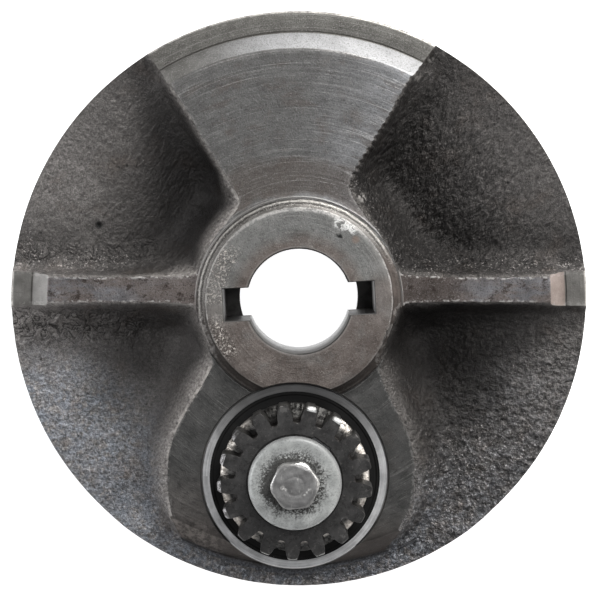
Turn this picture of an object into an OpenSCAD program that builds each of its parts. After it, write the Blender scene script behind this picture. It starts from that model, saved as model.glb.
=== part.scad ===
// Eccentric-pinion flywheel: a cast iron disc that turns on its main bore and
// carries a planet pinion on an offset shaft in two sealed ball bearings.
// The spin axis is Z, the worked front face points up, the back face lies on
// Z = 0 and the origin is on the axis of the main bore. Sizes in millimetres.

/* [Disc] */
// Outside diameter of the disc
disc_d = 222; // [216:1:230]
// Height of the low turned band round the rim above the back face
rim_z = 36; // [34:0.5:38]
// Height of the turned front face above the back face
face_z = 42; // [41.6:0.1:44]
// Radius where the bevel leaves the front face
bevel_in_r = 96.7; // [94:0.1:98]
// Radius where the bevel meets the low rim band
bevel_out_r = 102.7; // [100:0.1:105]

/* [Hub] */
// Diameter of the main bore
bore_d = 40; // [38:0.5:42]
// Height of the hub face above the back face
hub_z = 45; // [44:0.5:48]
// Diameter of the flat hub face
hub_d = 71.6; // [68:0.2:74]
// Diameter of the turned shoulder round the hub
hub_shoulder_d = 79; // [76:0.5:82]
// Width of each of the two drive slots
slot_w = 12.5; // [10:0.5:14]
// Distance from the bore axis to the closed end of a drive slot
slot_reach = 29; // [26:0.5:31]
// Depth of the two drive slots below the hub face
slot_depth = 38; // [37:0.5:41]
// Diameter of the relief round the back end of the main bore
relief_d = 47; // [42:0.5:52]
// Depth of that relief from the back face
relief_t = 8; // [4:0.5:10]
// Angle of the pair of drive slots from the X axis
slot_angle = 3.1; // [-5:0.1:10]

/* [Ribs and pockets] */
// Width of the two side ribs
rib_w = 9.4; // [8:0.2:12]
// Offset of the two side ribs from the bore axis towards the wide sector
rib_off = 4.3; // [2:0.1:6]
// Depth of the pocket floor below the front face beside the hub
pocket_deep = 24; // [18:1:26]
// Depth of the pocket floor below the front face at the rim
pocket_rim = 10; // [8:0.5:12]

/* [Pinion] */
// Distance from the bore axis to the pinion axis
pinion_off = 67.5; // [67:0.1:68]
// Direction of the pinion axis from the bore axis
pinion_dir = 268.6; // [266:0.1:272]
// Module of the pinion teeth
gear_m = 3; // [2.9:0.05:3.1]
// Number of pinion teeth
gear_n = 17; // [17:1:17]
// Profile shift coefficient of the pinion teeth
gear_x = 0.3; // [0.2:0.05:0.35]
// Height of the pinion above the bearing face
gear_h = 19; // [16:0.5:21]
// Turn of the pinion about its own axis at rest
gear_turn = -91.8; // [-110:0.1:-80]

/* [Shaft, washer and bolt] */
// Diameter of the pinion shaft
shaft_d = 30; // [30:1:30]
// Direction of the keyway about the pinion axis
key_dir = 55; // [0:1:359]
// Diameter of the retaining washer
washer_d = 35.2; // [34:0.2:36]
// Thickness of the retaining washer
washer_t = 6; // [4:0.5:7]
// Width across flats of the bolt head
bolt_af = 17; // [16:0.5:17]
// Turn of the bolt head about its axis
bolt_turn = 6; // [0:1:59]

/* [Hidden] */
$fn = 96;
e = 0.01;

disc_r = disc_d / 2;
bore_r = bore_d / 2;
hub_r = hub_d / 2;
px = pinion_off * cos(pinion_dir);
py = pinion_off * sin(pinion_dir);

// front bearing, 30 x 72 x 19
fb_w = 19;  fb_od = 72;  fb_z1 = 41.5;  fb_z0 = fb_z1 - fb_w;
fb_ball = 12.3;  fb_pitch = 51;  fb_n = 8;
// rear bearing, 30 x 55 x 13
rb_w = 13;  rb_od = 55;  rb_z0 = 6.5;  rb_z1 = rb_z0 + rb_w;
rb_ball = 7.14;  rb_pitch = 42.5;  rb_n = 11;
// running clearance of the balls in their tracks and cages
ball_gap = 0.15;

gear_back = fb_z1 + 0.8;
gear_top = fb_z1 + gear_h;
shoulder_t = 2;
washer_z0 = gear_top - 0.8;
washer_z1 = washer_z0 + washer_t;
key_l = 14;
thread_r = 4.25;

module at_pinion(a = 0) translate([px, py, 0]) rotate([0, 0, a]) children();

// ---- casting ----------------------------------------------------------

// turned profile of the whole disc: radius against height
module disc_profile() polygon([
    [0, 0], [disc_r - 1, 0], [disc_r, 1], [disc_r, rim_z - 0.8],
    [disc_r - 0.8, rim_z], [bevel_out_r, rim_z], [bevel_in_r, face_z],
    [hub_shoulder_d / 2 + 0.5, face_z], [hub_shoulder_d / 2, face_z + 1],
    [hub_r + 0.6, hub_z - 0.6], [hub_r, hub_z], [0, hub_z]]);

// the dished floor of the cast pockets, swept round the bore axis
module pocket_sweep() rotate_extrude() polygon([
    [28, face_z - pocket_deep],
    [44, face_z - pocket_deep + 1],
    [58, face_z - pocket_deep + 4.5],
    [76, face_z - pocket_rim - 4.5],
    [94, face_z - pocket_rim - 1],
    [disc_r - 1.5, face_z - pocket_rim],
    [disc_r + 6, face_z - pocket_rim - 2],
    [disc_r + 6, hub_z + 10], [28, hub_z + 10]]);

rib_top = rib_off + rib_w / 2;
rib_bot = rib_off - rib_w / 2;

// outlines of the four pockets at the front face
module pocket_ul() polygon([
    [-66.4, 110], [-57, 94.7], [-48.9, 83.3], [-37, 62.5], [-28.1, 47.9],
    [-23.4, 40.4], [-22.6, 37.6], [-23.3, 35], [-27.6, 30.4], [-34.3, 22.6],
    [-38.2, 14.7], [-39.8, 11.2], [-43, rib_top + 0.2], [-94, rib_top],
    [-103, rib_top + 1.6], [-120, rib_top + 1.6], [-120, 110]]);
module pocket_ur() polygon([
    [59.4, 110], [51.3, 97.2], [46.2, 90.6], [41.6, 84.1], [35.8, 73.7],
    [30.1, 64.8], [23.9, 54.4], [19.6, 47], [19, 43.6], [20.6, 40],
    [28.4, 31], [35.2, 20.4], [38.4, 13.2], [42.4, rib_top + 0.2],
    [94, rib_top], [103, rib_top + 1.6], [120, rib_top + 1.6], [120, 110]]);
module pocket_ll() polygon([
    [-120, rib_bot - 1], [-103, rib_bot - 1], [-94, rib_bot], [-43, rib_bot],
    [-39.6, -3], [-38.4, -8], [-36.4, -14.6], [-34, -19.4], [-33.6, -23],
    [-37, -32.3], [-44.3, -44.2], [-49.4, -54.7], [-50.6, -62],
    [-50.5, -72], [-49.4, -80.6], [-46.6, -88.9], [-40.9, -95.1],
    [-34, -98.8], [-26.6, -101.7], [-14, -104.8], [0, -106.2], [0, -120],
    [-120, -120]]);
module pocket_lr() polygon([
    [120, rib_bot - 1], [103, rib_bot - 1], [94, rib_bot], [43, rib_bot],
    [39.6, -3], [38.2, -8], [36.2, -14.6], [33.4, -20], [32, -25],
    [34, -36], [39.3, -45.8], [42.6, -52.4], [44, -60], [44.2, -68],
    [43.6, -75.5], [41.4, -82.6], [35.8, -92], [29.7, -97.8],
    [16, -103.2], [0, -106.2], [0, -120], [120, -120]]);

module pocket(k) intersection() {
    pocket_sweep();
    translate([0, 0, 2]) linear_extrude(height = 60)
        if (k == 0) pocket_ul();
        else if (k == 1) pocket_ur();
        else if (k == 2) pocket_ll();
        else pocket_lr();
}

// one drive slot, pointing along +X; its floor opens into the back relief
module drive_slot() translate([0, -slot_w / 2, hub_z - slot_depth])
    cube([slot_reach, slot_w, slot_depth + 1]);

// turned recess in the back face between hub, boss and rim
module back_recess() difference() {
    translate([0, 0, -1]) rotate_extrude() polygon([
        [40, 0], [42, 7], [88, 7], [90, 0]]);
    at_pinion() translate([0, 0, -2]) cylinder(r = 37, h = 14);
}

module flywheel_casting() color([0.27, 0.25, 0.24]) difference() {
    rotate_extrude($fn = 180) disc_profile();
    for (k = [0:3]) pocket(k);
    back_recess();
    // main bore with edge chamfers and a relief at the back
    translate([0, 0, -1]) cylinder(r = bore_r, h = hub_z + 2);
    translate([0, 0, -1]) cylinder(r = relief_d / 2, h = relief_t + 1);
    translate([0, 0, hub_z - 0.6])
        cylinder(r1 = bore_r, r2 = bore_r + 0.7, h = 0.7);
    // two drive slots
    rotate([0, 0, slot_angle]) drive_slot();
    rotate([0, 0, slot_angle + 180]) drive_slot();
    // bearing seats and the land between them
    at_pinion() {
        translate([0, 0, fb_z0]) cylinder(r = fb_od / 2, h = 30);
        translate([0, 0, face_z - 0.5])
            cylinder(r1 = fb_od / 2, r2 = fb_od / 2 + 0.6, h = 0.6);
        translate([0, 0, rb_z1 - 1]) cylinder(r = 25, h = 6);
        translate([0, 0, -1]) cylinder(r = rb_od / 2, h = rb_z1 + 1);
        translate([0, 0, rb_z0 - 2.15]) cylinder(r = rb_od / 2 + 1.5, h = 2.15);
        translate([0, 0, -e])
            cylinder(r1 = rb_od / 2 + 1, r2 = rb_od / 2, h = 1);
    }
}

// ---- ball bearings ----------------------------------------------------

// ring of a ball bearing: the track is cut as a torus round the ball circle
module race(r0, r1, w, ball, pitch, cut_r0, cut_r1)
    rotate_extrude() difference() {
        polygon([[r0 + 0.6, 0], [r1 - 0.6, 0], [r1, 0.6], [r1, w - 0.6],
                 [r1 - 0.6, w], [r0 + 0.6, w], [r0, w - 0.6], [r0, 0.6]]);
        translate([pitch / 2, w / 2]) circle(r = ball / 2 + ball_gap, $fn = 64);
        // rebates for the seals
        translate([cut_r0, -1]) square([cut_r1 - cut_r0, 2.6]);
        translate([cut_r0, w - 1.6]) square([cut_r1 - cut_r0, 2.6]);
    }

module seal(r0, r1) rotate_extrude() polygon([
    [r0, 0], [r0 + 1, 0], [r0 + 1.6, 0.25], [r1 - 1.6, 0.25], [r1 - 1, 0],
    [r1, 0], [r1, 1.3], [r0, 1.3]]);

module balls(n, ball, pitch) for (i = [0:n - 1])
    rotate([0, 0, 360 * (i + 0.5) / n]) translate([pitch / 2, 0, 0])
        sphere(d = ball - 0.1, $fn = 64);

// one half of a pressed ribbon cage: cups over the balls, flat lands between
module cage_half(n, ball, pitch, band, t) difference() {
    union() {
        difference() {
            cylinder(r = pitch / 2 + band / 2, h = t);
            translate([0, 0, -1]) cylinder(r = pitch / 2 - band / 2, h = t + 2);
        }
        intersection() {
            union() for (i = [0:n - 1]) rotate([0, 0, 360 * (i + 0.5) / n])
                translate([pitch / 2, 0, 0])
                    sphere(r = ball / 2 + ball_gap + t, $fn = 64);
            difference() {
                cylinder(r = pitch / 2 + band / 2, h = ball);
                translate([0, 0, -1])
                    cylinder(r = pitch / 2 - band / 2, h = ball + 2);
            }
        }
    }
    for (i = [0:n - 1]) rotate([0, 0, 360 * (i + 0.5) / n])
        translate([pitch / 2, 0, 0]) sphere(r = ball / 2 + ball_gap, $fn = 64);
    for (i = [0:n - 1]) rotate([0, 0, 360 * i / n])
        translate([pitch / 2, 0, -1]) cylinder(r = 0.8, h = t + 2);
}

module cage_rivets(n, pitch, t) for (i = [0:n - 1])
    rotate([0, 0, 360 * i / n]) translate([pitch / 2, 0, 0]) {
        translate([0, 0, -t]) cylinder(r = 0.8, h = 2 * t);
        translate([0, 0, t]) cylinder(r = 1.2, h = 0.5);
        translate([0, 0, -t - 0.5]) cylinder(r = 1.2, h = 0.5);
    }

module front_outer_race() color([0.62, 0.62, 0.63])
    at_pinion() translate([0, 0, fb_z0])
        race(30.6, fb_od / 2, fb_w, fb_ball, fb_pitch, 30, 32.7);
module front_inner_race() color([0.62, 0.62, 0.63])
    at_pinion() translate([0, 0, fb_z0])
        race(shaft_d / 2, 20.4, fb_w, fb_ball, fb_pitch, 19.8, 21);
module front_balls() color([0.8, 0.8, 0.82])
    at_pinion() translate([0, 0, fb_z0 + fb_w / 2]) balls(fb_n, fb_ball, fb_pitch);
module front_cage_upper() color([0.55, 0.52, 0.46])
    at_pinion() translate([0, 0, fb_z0 + fb_w / 2])
        cage_half(fb_n, fb_ball, fb_pitch, 5, 1);
module front_cage_lower() color([0.5, 0.47, 0.42])
    at_pinion() translate([0, 0, fb_z0 + fb_w / 2]) mirror([0, 0, 1])
        cage_half(fb_n, fb_ball, fb_pitch, 5, 1);
module front_cage_rivets() color([0.7, 0.68, 0.62])
    at_pinion() translate([0, 0, fb_z0 + fb_w / 2])
        cage_rivets(fb_n, fb_pitch, 1);
module front_seal_outer() color([0.07, 0.07, 0.07])
    at_pinion() translate([0, 0, fb_z1 - 0.3]) mirror([0, 0, 1]) seal(20.1, 32.7);
module front_seal_inner() color([0.07, 0.07, 0.07])
    at_pinion() translate([0, 0, fb_z0 + 0.3]) seal(20.1, 32.7);

module rear_outer_race() color([0.62, 0.62, 0.63])
    at_pinion() translate([0, 0, rb_z0])
        race(23.9, rb_od / 2, rb_w, rb_ball, rb_pitch, 23, 25.2);
module rear_inner_race() color([0.62, 0.62, 0.63])
    at_pinion() translate([0, 0, rb_z0])
        race(shaft_d / 2, 18.6, rb_w, rb_ball, rb_pitch, 18, 19);
module rear_balls() color([0.8, 0.8, 0.82])
    at_pinion() translate([0, 0, rb_z0 + rb_w / 2]) balls(rb_n, rb_ball, rb_pitch);
module rear_cage_upper() color([0.55, 0.52, 0.46])
    at_pinion() translate([0, 0, rb_z0 + rb_w / 2])
        cage_half(rb_n, rb_ball, rb_pitch, 3, 0.8);
module rear_cage_lower() color([0.5, 0.47, 0.42])
    at_pinion() translate([0, 0, rb_z0 + rb_w / 2]) mirror([0, 0, 1])
        cage_half(rb_n, rb_ball, rb_pitch, 3, 0.8);
module rear_cage_rivets() color([0.7, 0.68, 0.62])
    at_pinion() translate([0, 0, rb_z0 + rb_w / 2])
        cage_rivets(rb_n, rb_pitch, 0.8);
module rear_seal_inner() color([0.07, 0.07, 0.07])
    at_pinion() translate([0, 0, rb_z1 - 0.3]) mirror([0, 0, 1]) seal(18.3, 25.2);
module rear_seal_outer() color([0.07, 0.07, 0.07])
    at_pinion() translate([0, 0, rb_z0 + 0.3]) seal(18.3, 25.2);

// ring that keeps the two inner races apart
module race_spacer() color([0.5, 0.5, 0.52])
    at_pinion() translate([0, 0, rb_z1]) rotate_extrude()
        translate([shaft_d / 2, 0]) square([3, fb_z0 - rb_z1]);

// internal snap ring behind the rear bearing, open at the outside of the disc
module retaining_ring() color([0.3, 0.3, 0.33])
    at_pinion(pinion_dir) translate([0, 0, rb_z0 - 2.05]) difference() {
        union() {
            difference() {
                cylinder(r = rb_od / 2 + 1.2, h = 2);
                translate([-0.8, 0, -1]) cylinder(r = rb_od / 2 - 3.4, h = 4);
            }
            for (s = [-1, 1]) rotate([0, 0, s * 14])
                translate([rb_od / 2 - 4.6, 0, 0]) cylinder(r = 2.6, h = 2);
        }
        translate([0, -4, -1]) cube([40, 8, 4]);
        for (s = [-1, 1]) rotate([0, 0, s * 14])
            translate([rb_od / 2 - 4.9, 0, -1]) cylinder(r = 1.1, h = 4);
    }

// ---- shaft and pinion -------------------------------------------------

module pinion_shaft() color([0.5, 0.5, 0.52])
    at_pinion() difference() {
        rotate_extrude() polygon([
            [0, 1], [18.2, 1], [19.2, 2], [19.2, rb_z0], [shaft_d / 2, rb_z0],
            [shaft_d / 2, washer_z0 - 1.5], [shaft_d / 2 - 1, washer_z0 - 0.5],
            [0, washer_z0 - 0.5]]);
        // tapped hole for the clamp bolt
        translate([0, 0, washer_z0 - 34]) cylinder(r = thread_r, h = 40);
        // seat of the key
        rotate([0, 0, key_dir]) translate([shaft_d / 2 - 4, -4, gear_top - 3 - key_l])
            cube([6, 8, key_l]);
        // centre hole in the rear end
        translate([0, 0, 1 - e]) cylinder(r1 = 4, r2 = 1.6, h = 4);
        translate([0, 0, 2]) cylinder(r = 1.6, h = 6);
    }

// blunt tooth form: an involute flank drawn out to a broad tip
gear_rp = gear_m * gear_n / 2;
gear_rb = gear_rp * cos(20);
gear_ra = gear_rp + gear_m * (1 + gear_x);
gear_rf = gear_rp - gear_m * (1.25 - gear_x);
function inv(a) = tan(a) * 180 / PI - a;
// half the tooth angle at the base circle
gear_hb = 90 / gear_n + 2 * gear_x * tan(20) * 180 / (PI * gear_n) + inv(20);
// half the tooth angle at radius r
function half_a(r) = r <= gear_rb ? gear_hb : gear_hb - 0.66 * inv(acos(gear_rb / r));
flank_r = [for (k = [0:6]) max(gear_rb, gear_rf + 0.8)
           + (gear_ra - max(gear_rb, gear_rf + 0.8)) * k / 6];
function pol(r, a) = [r * cos(a), r * sin(a)];
gap_h = 180 / gear_n;
tooth_pts = [for (i = [0:gear_n - 1]) let (c = i * 360 / gear_n) each concat(
    [pol(gear_rf, c - gap_h), pol(gear_rf, c - gap_h + 1.8),
     pol(gear_rf + 0.25, c - gear_hb - 1.0)],
    [for (k = [0:5]) pol(flank_r[k], c - half_a(flank_r[k]))],
    [pol(gear_ra - 0.35, c - half_a(gear_ra)), pol(gear_ra, c - 0.72 * half_a(gear_ra)),
     pol(gear_ra, c), pol(gear_ra, c + 0.72 * half_a(gear_ra)),
     pol(gear_ra - 0.35, c + half_a(gear_ra))],
    [for (k = [5:-1:0]) pol(flank_r[k], c + half_a(flank_r[k]))],
    [pol(gear_rf + 0.25, c + gear_hb + 1.0), pol(gear_rf, c + gap_h - 1.8)])];

module pinion_gear() color([0.2, 0.2, 0.21])
    at_pinion() difference() {
        union() {
            translate([0, 0, gear_back + shoulder_t - e]) rotate([0, 0, gear_turn])
                linear_extrude(height = gear_top - gear_back - shoulder_t + e)
                    polygon(tooth_pts);
            // closed end behind the teeth, where the cutter runs out
            translate([0, 0, gear_back]) cylinder(r = 28.6, h = shoulder_t);
            translate([0, 0, fb_z1]) cylinder(r = 19.4, h = 2);
        }
        translate([0, 0, fb_z1 - 1]) cylinder(r = shaft_d / 2, h = 30);
        // shallow seat for the washer
        translate([0, 0, washer_z0]) cylinder(r = washer_d / 2 + 0.5, h = 2);
        // keyway, right through
        rotate([0, 0, key_dir]) translate([0, -4, fb_z1 - 1])
            cube([18.3, 8, 30]);
    }

module pinion_key() color([0.45, 0.45, 0.47])
    at_pinion() rotate([0, 0, key_dir])
        translate([shaft_d / 2 - 4, -4, gear_top - 3 - key_l])
            cube([7, 8, key_l]);

module retaining_washer() color([0.7, 0.7, 0.68])
    at_pinion() translate([0, 0, washer_z0]) rotate_extrude() polygon([
        [5.3, 0], [washer_d / 2 - 1, 0], [washer_d / 2 - 0.2, 0.6],
        [washer_d / 2, 1.4], [washer_d / 2, washer_t - 1.8],
        [washer_d / 2 - 0.5, washer_t - 0.6], [washer_d / 2 - 1.6, washer_t],
        [5.3, washer_t]]);

module clamp_bolt() color([0.55, 0.55, 0.55])
    at_pinion(bolt_turn) translate([0, 0, washer_z1]) {
        intersection() {
            cylinder(r = bolt_af / 2 / cos(30), h = 6.4, $fn = 6);
            rotate_extrude() polygon([
                [0, 0], [bolt_af / 2 / cos(30) + 0.1, 0],
                [bolt_af / 2 / cos(30) + 0.1, 5.3],
                [bolt_af / 2 - 0.4, 6.4], [0, 6.4]]);
        }
        translate([0, 0, -30]) cylinder(r = thread_r, h = 30 + e);
    }

flywheel_casting();
front_outer_race();
front_inner_race();
front_balls();
front_cage_upper();
front_cage_lower();
front_cage_rivets();
front_seal_outer();
front_seal_inner();
rear_outer_race();
rear_inner_race();
rear_balls();
rear_cage_upper();
rear_cage_lower();
rear_cage_rivets();
rear_seal_inner();
rear_seal_outer();
race_spacer();
retaining_ring();
pinion_shaft();
pinion_gear();
pinion_key();
retaining_washer();
clamp_bolt();
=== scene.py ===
import bpy, bmesh, math
import numpy as np
from mathutils import Vector, Matrix


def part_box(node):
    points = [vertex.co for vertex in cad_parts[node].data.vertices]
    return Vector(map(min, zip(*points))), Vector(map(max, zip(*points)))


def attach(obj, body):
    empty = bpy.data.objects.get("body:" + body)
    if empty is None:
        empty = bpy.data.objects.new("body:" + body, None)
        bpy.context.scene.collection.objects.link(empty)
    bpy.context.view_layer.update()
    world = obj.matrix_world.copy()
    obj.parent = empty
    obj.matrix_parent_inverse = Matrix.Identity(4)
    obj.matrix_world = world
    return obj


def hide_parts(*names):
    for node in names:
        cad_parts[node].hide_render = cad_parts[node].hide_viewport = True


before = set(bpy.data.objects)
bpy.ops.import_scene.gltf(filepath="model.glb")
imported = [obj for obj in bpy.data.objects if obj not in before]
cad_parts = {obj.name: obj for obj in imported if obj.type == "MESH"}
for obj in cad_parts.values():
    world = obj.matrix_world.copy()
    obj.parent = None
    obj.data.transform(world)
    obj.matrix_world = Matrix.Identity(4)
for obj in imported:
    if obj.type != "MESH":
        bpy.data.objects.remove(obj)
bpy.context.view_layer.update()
MM = 0.001
scene = bpy.context.scene


def box_mm(node):
    lo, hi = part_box(node)
    return np.array(lo) / MM, np.array(hi) / MM


# ---------------------------------------------------------------- positions
race_lo, race_hi = box_mm("front_outer_race")
PX, PY = (race_lo[0] + race_hi[0]) / 2, (race_lo[1] + race_hi[1]) / 2
SEAT_R = (race_hi[0] - race_lo[0]) / 2
RACE_Z0, RACE_Z1 = race_lo[2], race_hi[2]
cast_lo, cast_hi = box_mm("flywheel_casting")
DISC_R = (cast_hi[0] - cast_lo[0]) / 2
HUB_Z = cast_hi[2]
rear_lo, rear_hi = box_mm("rear_outer_race")
REAR_R = (rear_hi[0] - rear_lo[0]) / 2
REAR_Z0, REAR_Z1 = rear_lo[2], rear_hi[2]
gear_lo, gear_hi = box_mm("pinion_gear")
GEAR_TOP = gear_hi[2]
GEAR_BACK = RACE_Z1 + 0.8
wash_lo, wash_hi = box_mm("retaining_washer")
bolt_lo, bolt_hi = box_mm("clamp_bolt")
FACE_Z = RACE_Z1 + 0.5
RIM_Z = FACE_Z - 6.0
HUB_R = 35.8
BORE_R = 20.0
BEVEL_IN, BEVEL_OUT = 96.2, 102.7
SLOT_W, SLOT_REACH, SLOT_DEPTH = 12.5, 29.0, 38.0
RELIEF_R, RELIEF_Z = 23.5, 8.0
SLOT_A = math.radians(3.1)


# ------------------------------------------------------------ noise (numpy)
def lattice(seed, n=64):
    rng = np.random.default_rng(seed)
    return rng.uniform(-1, 1, (n, n, n))


_lat = {}


def vnoise(p, scale, seed):
    """Smooth value noise, -1 to 1, of points p (n, 3) in mm; scale in mm."""
    if seed not in _lat:
        _lat[seed] = lattice(seed, 32)
    L = _lat[seed]
    n = L.shape[0]
    q = p / scale + 100.37
    i = np.floor(q).astype(int)
    f = q - i
    f = f * f * f * (f * (f * 6 - 15) + 10)
    out = np.zeros(len(p))
    for dx in (0, 1):
        for dy in (0, 1):
            for dz in (0, 1):
                w = (
                    (f[:, 0] if dx else 1 - f[:, 0])
                    * (f[:, 1] if dy else 1 - f[:, 1])
                    * (f[:, 2] if dz else 1 - f[:, 2])
                )
                out += w * L[(i[:, 0] + dx) % n, (i[:, 1] + dy) % n, (i[:, 2] + dz) % n]
    return out


def fbm(p, scale, seed, octaves=4, gain=0.5):
    out, amp, tot = np.zeros(len(p)), 1.0, 0.0
    for k in range(octaves):
        out += amp * vnoise(p, scale / 2**k, seed + k)
        tot += amp
        amp *= gain
    return out / tot


def smax(a, b, k):
    h = np.clip(0.5 + 0.5 * (a - b) / k, 0, 1)
    return b * (1 - h) + a * h + k * h * (1 - h)


def smin(a, b, k):
    return -smax(-a, -b, k)


def sstep(x, a, b):
    t = np.clip((x - a) / (b - a), 0, 1)
    return t * t * (3 - 2 * t)


# ------------------------------------------------------------- mesh helpers
def new_object(name, verts_mm, faces, smooth=True):
    me = bpy.data.meshes.new(name)
    me.from_pydata([tuple(v) for v in np.asarray(verts_mm) * MM], [], faces)
    me.update()
    ob = bpy.data.objects.new(name, me)
    scene.collection.objects.link(ob)
    if smooth:
        me.polygons.foreach_set("use_smooth", [True] * len(me.polygons))
    return ob


def revolve(name, profile, n, cx=0.0, cy=0.0, closed_axis=True):
    """Solid of revolution about a vertical axis. profile: (r, z) from the bottom to the top, outside on the right; it closes on the axis, or round a hole."""
    prof = [(max(r, 0.0), z) for r, z in profile]
    verts, faces, rings = [], [], []
    a = np.arange(n) * 2 * math.pi / n
    ca, sa = np.cos(a), np.sin(a)
    for r, z in prof:
        if r < 1e-6:
            rings.append([len(verts)])
            verts.append((cx, cy, z))
        else:
            k = len(verts)
            rings.append(list(range(k, k + n)))
            verts += [(cx + r * c, cy + r * s, z) for c, s in zip(ca, sa)]
    m = len(prof)
    pairs = [(i, i + 1) for i in range(m - 1)]
    if not closed_axis:
        pairs.append((m - 1, 0))
    for i, j in pairs:
        A, B = rings[i], rings[j]
        if len(A) == 1 and len(B) == 1:
            continue
        for k in range(n):
            k2 = (k + 1) % n
            if len(A) == 1:
                faces.append((A[0], B[k2], B[k]))
            elif len(B) == 1:
                faces.append((A[k], A[k2], B[0]))
            else:
                faces.append((A[k], A[k2], B[k2], B[k]))
    return new_object(name, verts, faces)


def boolean(ob, other, op="DIFFERENCE", solver="MANIFOLD"):
    m = ob.modifiers.new("b", "BOOLEAN")
    m.operation, m.solver, m.object = op, solver, other
    m.material_mode = "TRANSFER"
    dg = bpy.context.evaluated_depsgraph_get()
    me = bpy.data.meshes.new_from_object(ob.evaluated_get(dg), preserve_all_data_layers=True, depsgraph=dg)
    ob.modifiers.clear()
    old = ob.data
    ob.data = me
    bpy.data.meshes.remove(old)
    bpy.data.objects.remove(other)
    if not len(me.polygons):
        raise RuntimeError("a boolean left nothing of " + ob.name)
    return ob


def set_slot(ob, mat):
    ob.data.materials.clear()
    ob.data.materials.append(mat)
    return ob


# --------------------------------------------------------------- node maker
class G:
    """A small helper that writes shader nodes."""

    def __init__(self, name):
        self.mat = bpy.data.materials.new(name)
        self.mat.use_nodes = True
        self.t = self.mat.node_tree
        self.t.nodes.clear()
        self.out = self.t.nodes.new("ShaderNodeOutputMaterial")
        self.bsdf = self.t.nodes.new("ShaderNodeBsdfPrincipled")
        self.t.links.new(self.bsdf.outputs[0], self.out.inputs[0])
        self.tc = self.t.nodes.new("ShaderNodeTexCoord")
        self.obj = self.tc.outputs["Object"]
        self._h = None

    def put(self, sock, v):
        if hasattr(v, "is_output"):
            self.t.links.new(v, sock)
        elif isinstance(v, (tuple, list)) and len(v) == 3 and sock.type == "RGBA":
            sock.default_value = (*v, 1)
        else:
            sock.default_value = v

    def math(self, op, a, b=0.0, c=None, clamp=False):
        n = self.t.nodes.new("ShaderNodeMath")
        n.operation = op
        n.use_clamp = clamp
        self.put(n.inputs[0], a)
        self.put(n.inputs[1], b)
        if c is not None:
            self.put(n.inputs[2], c)
        return n.outputs[0]

    def vec(self, op, a, b=(0, 0, 0), s=1.0):
        n = self.t.nodes.new("ShaderNodeVectorMath")
        n.operation = op
        self.put(n.inputs[0], a)
        self.put(n.inputs[1], b)
        if op == "SCALE":
            self.put(n.inputs[3], s)
        return n.outputs["Value"] if op in ("LENGTH", "DOT_PRODUCT", "DISTANCE") else n.outputs[0]

    def xyz(self, v=None):
        n = self.t.nodes.new("ShaderNodeSeparateXYZ")
        self.put(n.inputs[0], v or self.obj)
        return n.outputs[0], n.outputs[1], n.outputs[2]

    def join(self, x, y, z):
        n = self.t.nodes.new("ShaderNodeCombineXYZ")
        for k, v in enumerate((x, y, z)):
            self.put(n.inputs[k], v)
        return n.outputs[0]

    def noise(self, scale_mm, detail=4, rough=0.55, vec=None, dist=0.0, kind=None):
        n = self.t.nodes.new("ShaderNodeTexNoise")
        if kind:
            n.noise_type = kind
        n.inputs["Scale"].default_value = 1000.0 / scale_mm
        n.inputs["Detail"].default_value = detail
        n.inputs["Roughness"].default_value = rough
        n.inputs["Distortion"].default_value = dist
        self.put(n.inputs["Vector"], vec or self.obj)
        return n.outputs["Fac"] if "Fac" in n.outputs else n.outputs[0]

    def voronoi(self, scale_mm, vec=None, feature="F1", rand=1.0):
        n = self.t.nodes.new("ShaderNodeTexVoronoi")
        n.feature = feature
        n.inputs["Scale"].default_value = 1000.0 / scale_mm
        n.inputs["Randomness"].default_value = rand
        self.put(n.inputs["Vector"], vec or self.obj)
        return n.outputs["Distance"]

    def ramp(self, fac, a, b, lo=0.0, hi=1.0, smooth=True):
        """Maps fac from [a, b] to [lo, hi], clamped."""
        n = self.t.nodes.new("ShaderNodeMapRange")
        n.interpolation_type = "SMOOTHSTEP" if smooth else "LINEAR"
        n.clamp = True
        self.put(n.inputs[0], fac)
        for k, v in zip((1, 2, 3, 4), (a, b, lo, hi)):
            n.inputs[k].default_value = v
        return n.outputs[0]

    def mix(self, fac, a, b, blend="MIX"):
        n = self.t.nodes.new("ShaderNodeMix")
        n.data_type = "RGBA"
        n.blend_type = blend
        self.put(n.inputs[0], fac)
        self.put(n.inputs[6], a)
        self.put(n.inputs[7], b)
        return n.outputs[2]

    def fmix(self, fac, a, b):
        n = self.t.nodes.new("ShaderNodeMix")
        n.data_type = "FLOAT"
        self.put(n.inputs[0], fac)
        self.put(n.inputs[2], a)
        self.put(n.inputs[3], b)
        return n.outputs[0]

    def bump(self, height, dist_mm=0.1, strength=1.0):
        n = self.t.nodes.new("ShaderNodeBump")
        n.inputs["Strength"].default_value = strength
        n.inputs["Distance"].default_value = dist_mm * MM
        self.put(n.inputs["Height"], height)
        if self._h is not None:
            self.put(n.inputs["Normal"], self._h)
        self._h = n.outputs[0]
        return self._h

    def geo(self, name):
        if not hasattr(self, "_geo"):
            self._geo = self.t.nodes.new("ShaderNodeNewGeometry")
        return self._geo.outputs[name]

    def attr(self, name):
        n = self.t.nodes.new("ShaderNodeAttribute")
        n.attribute_type = "GEOMETRY"
        n.attribute_name = name
        return n.outputs["Fac"]

    def add(self, a, b, clamp=False):
        return self.math("ADD", a, b, clamp=clamp)

    def mul(self, a, b):
        return self.math("MULTIPLY", a, b)

    def inv(self, a):
        return self.math("SUBTRACT", 1.0, a, clamp=True)

    def band(self, v, lo0, lo1, hi1, hi0):
        """1 between lo1 and hi1, falling to 0 at lo0 and hi0."""
        return self.mul(self.ramp(v, lo0, lo1), self.ramp(v, hi1, hi0, 1.0, 0.0))

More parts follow.
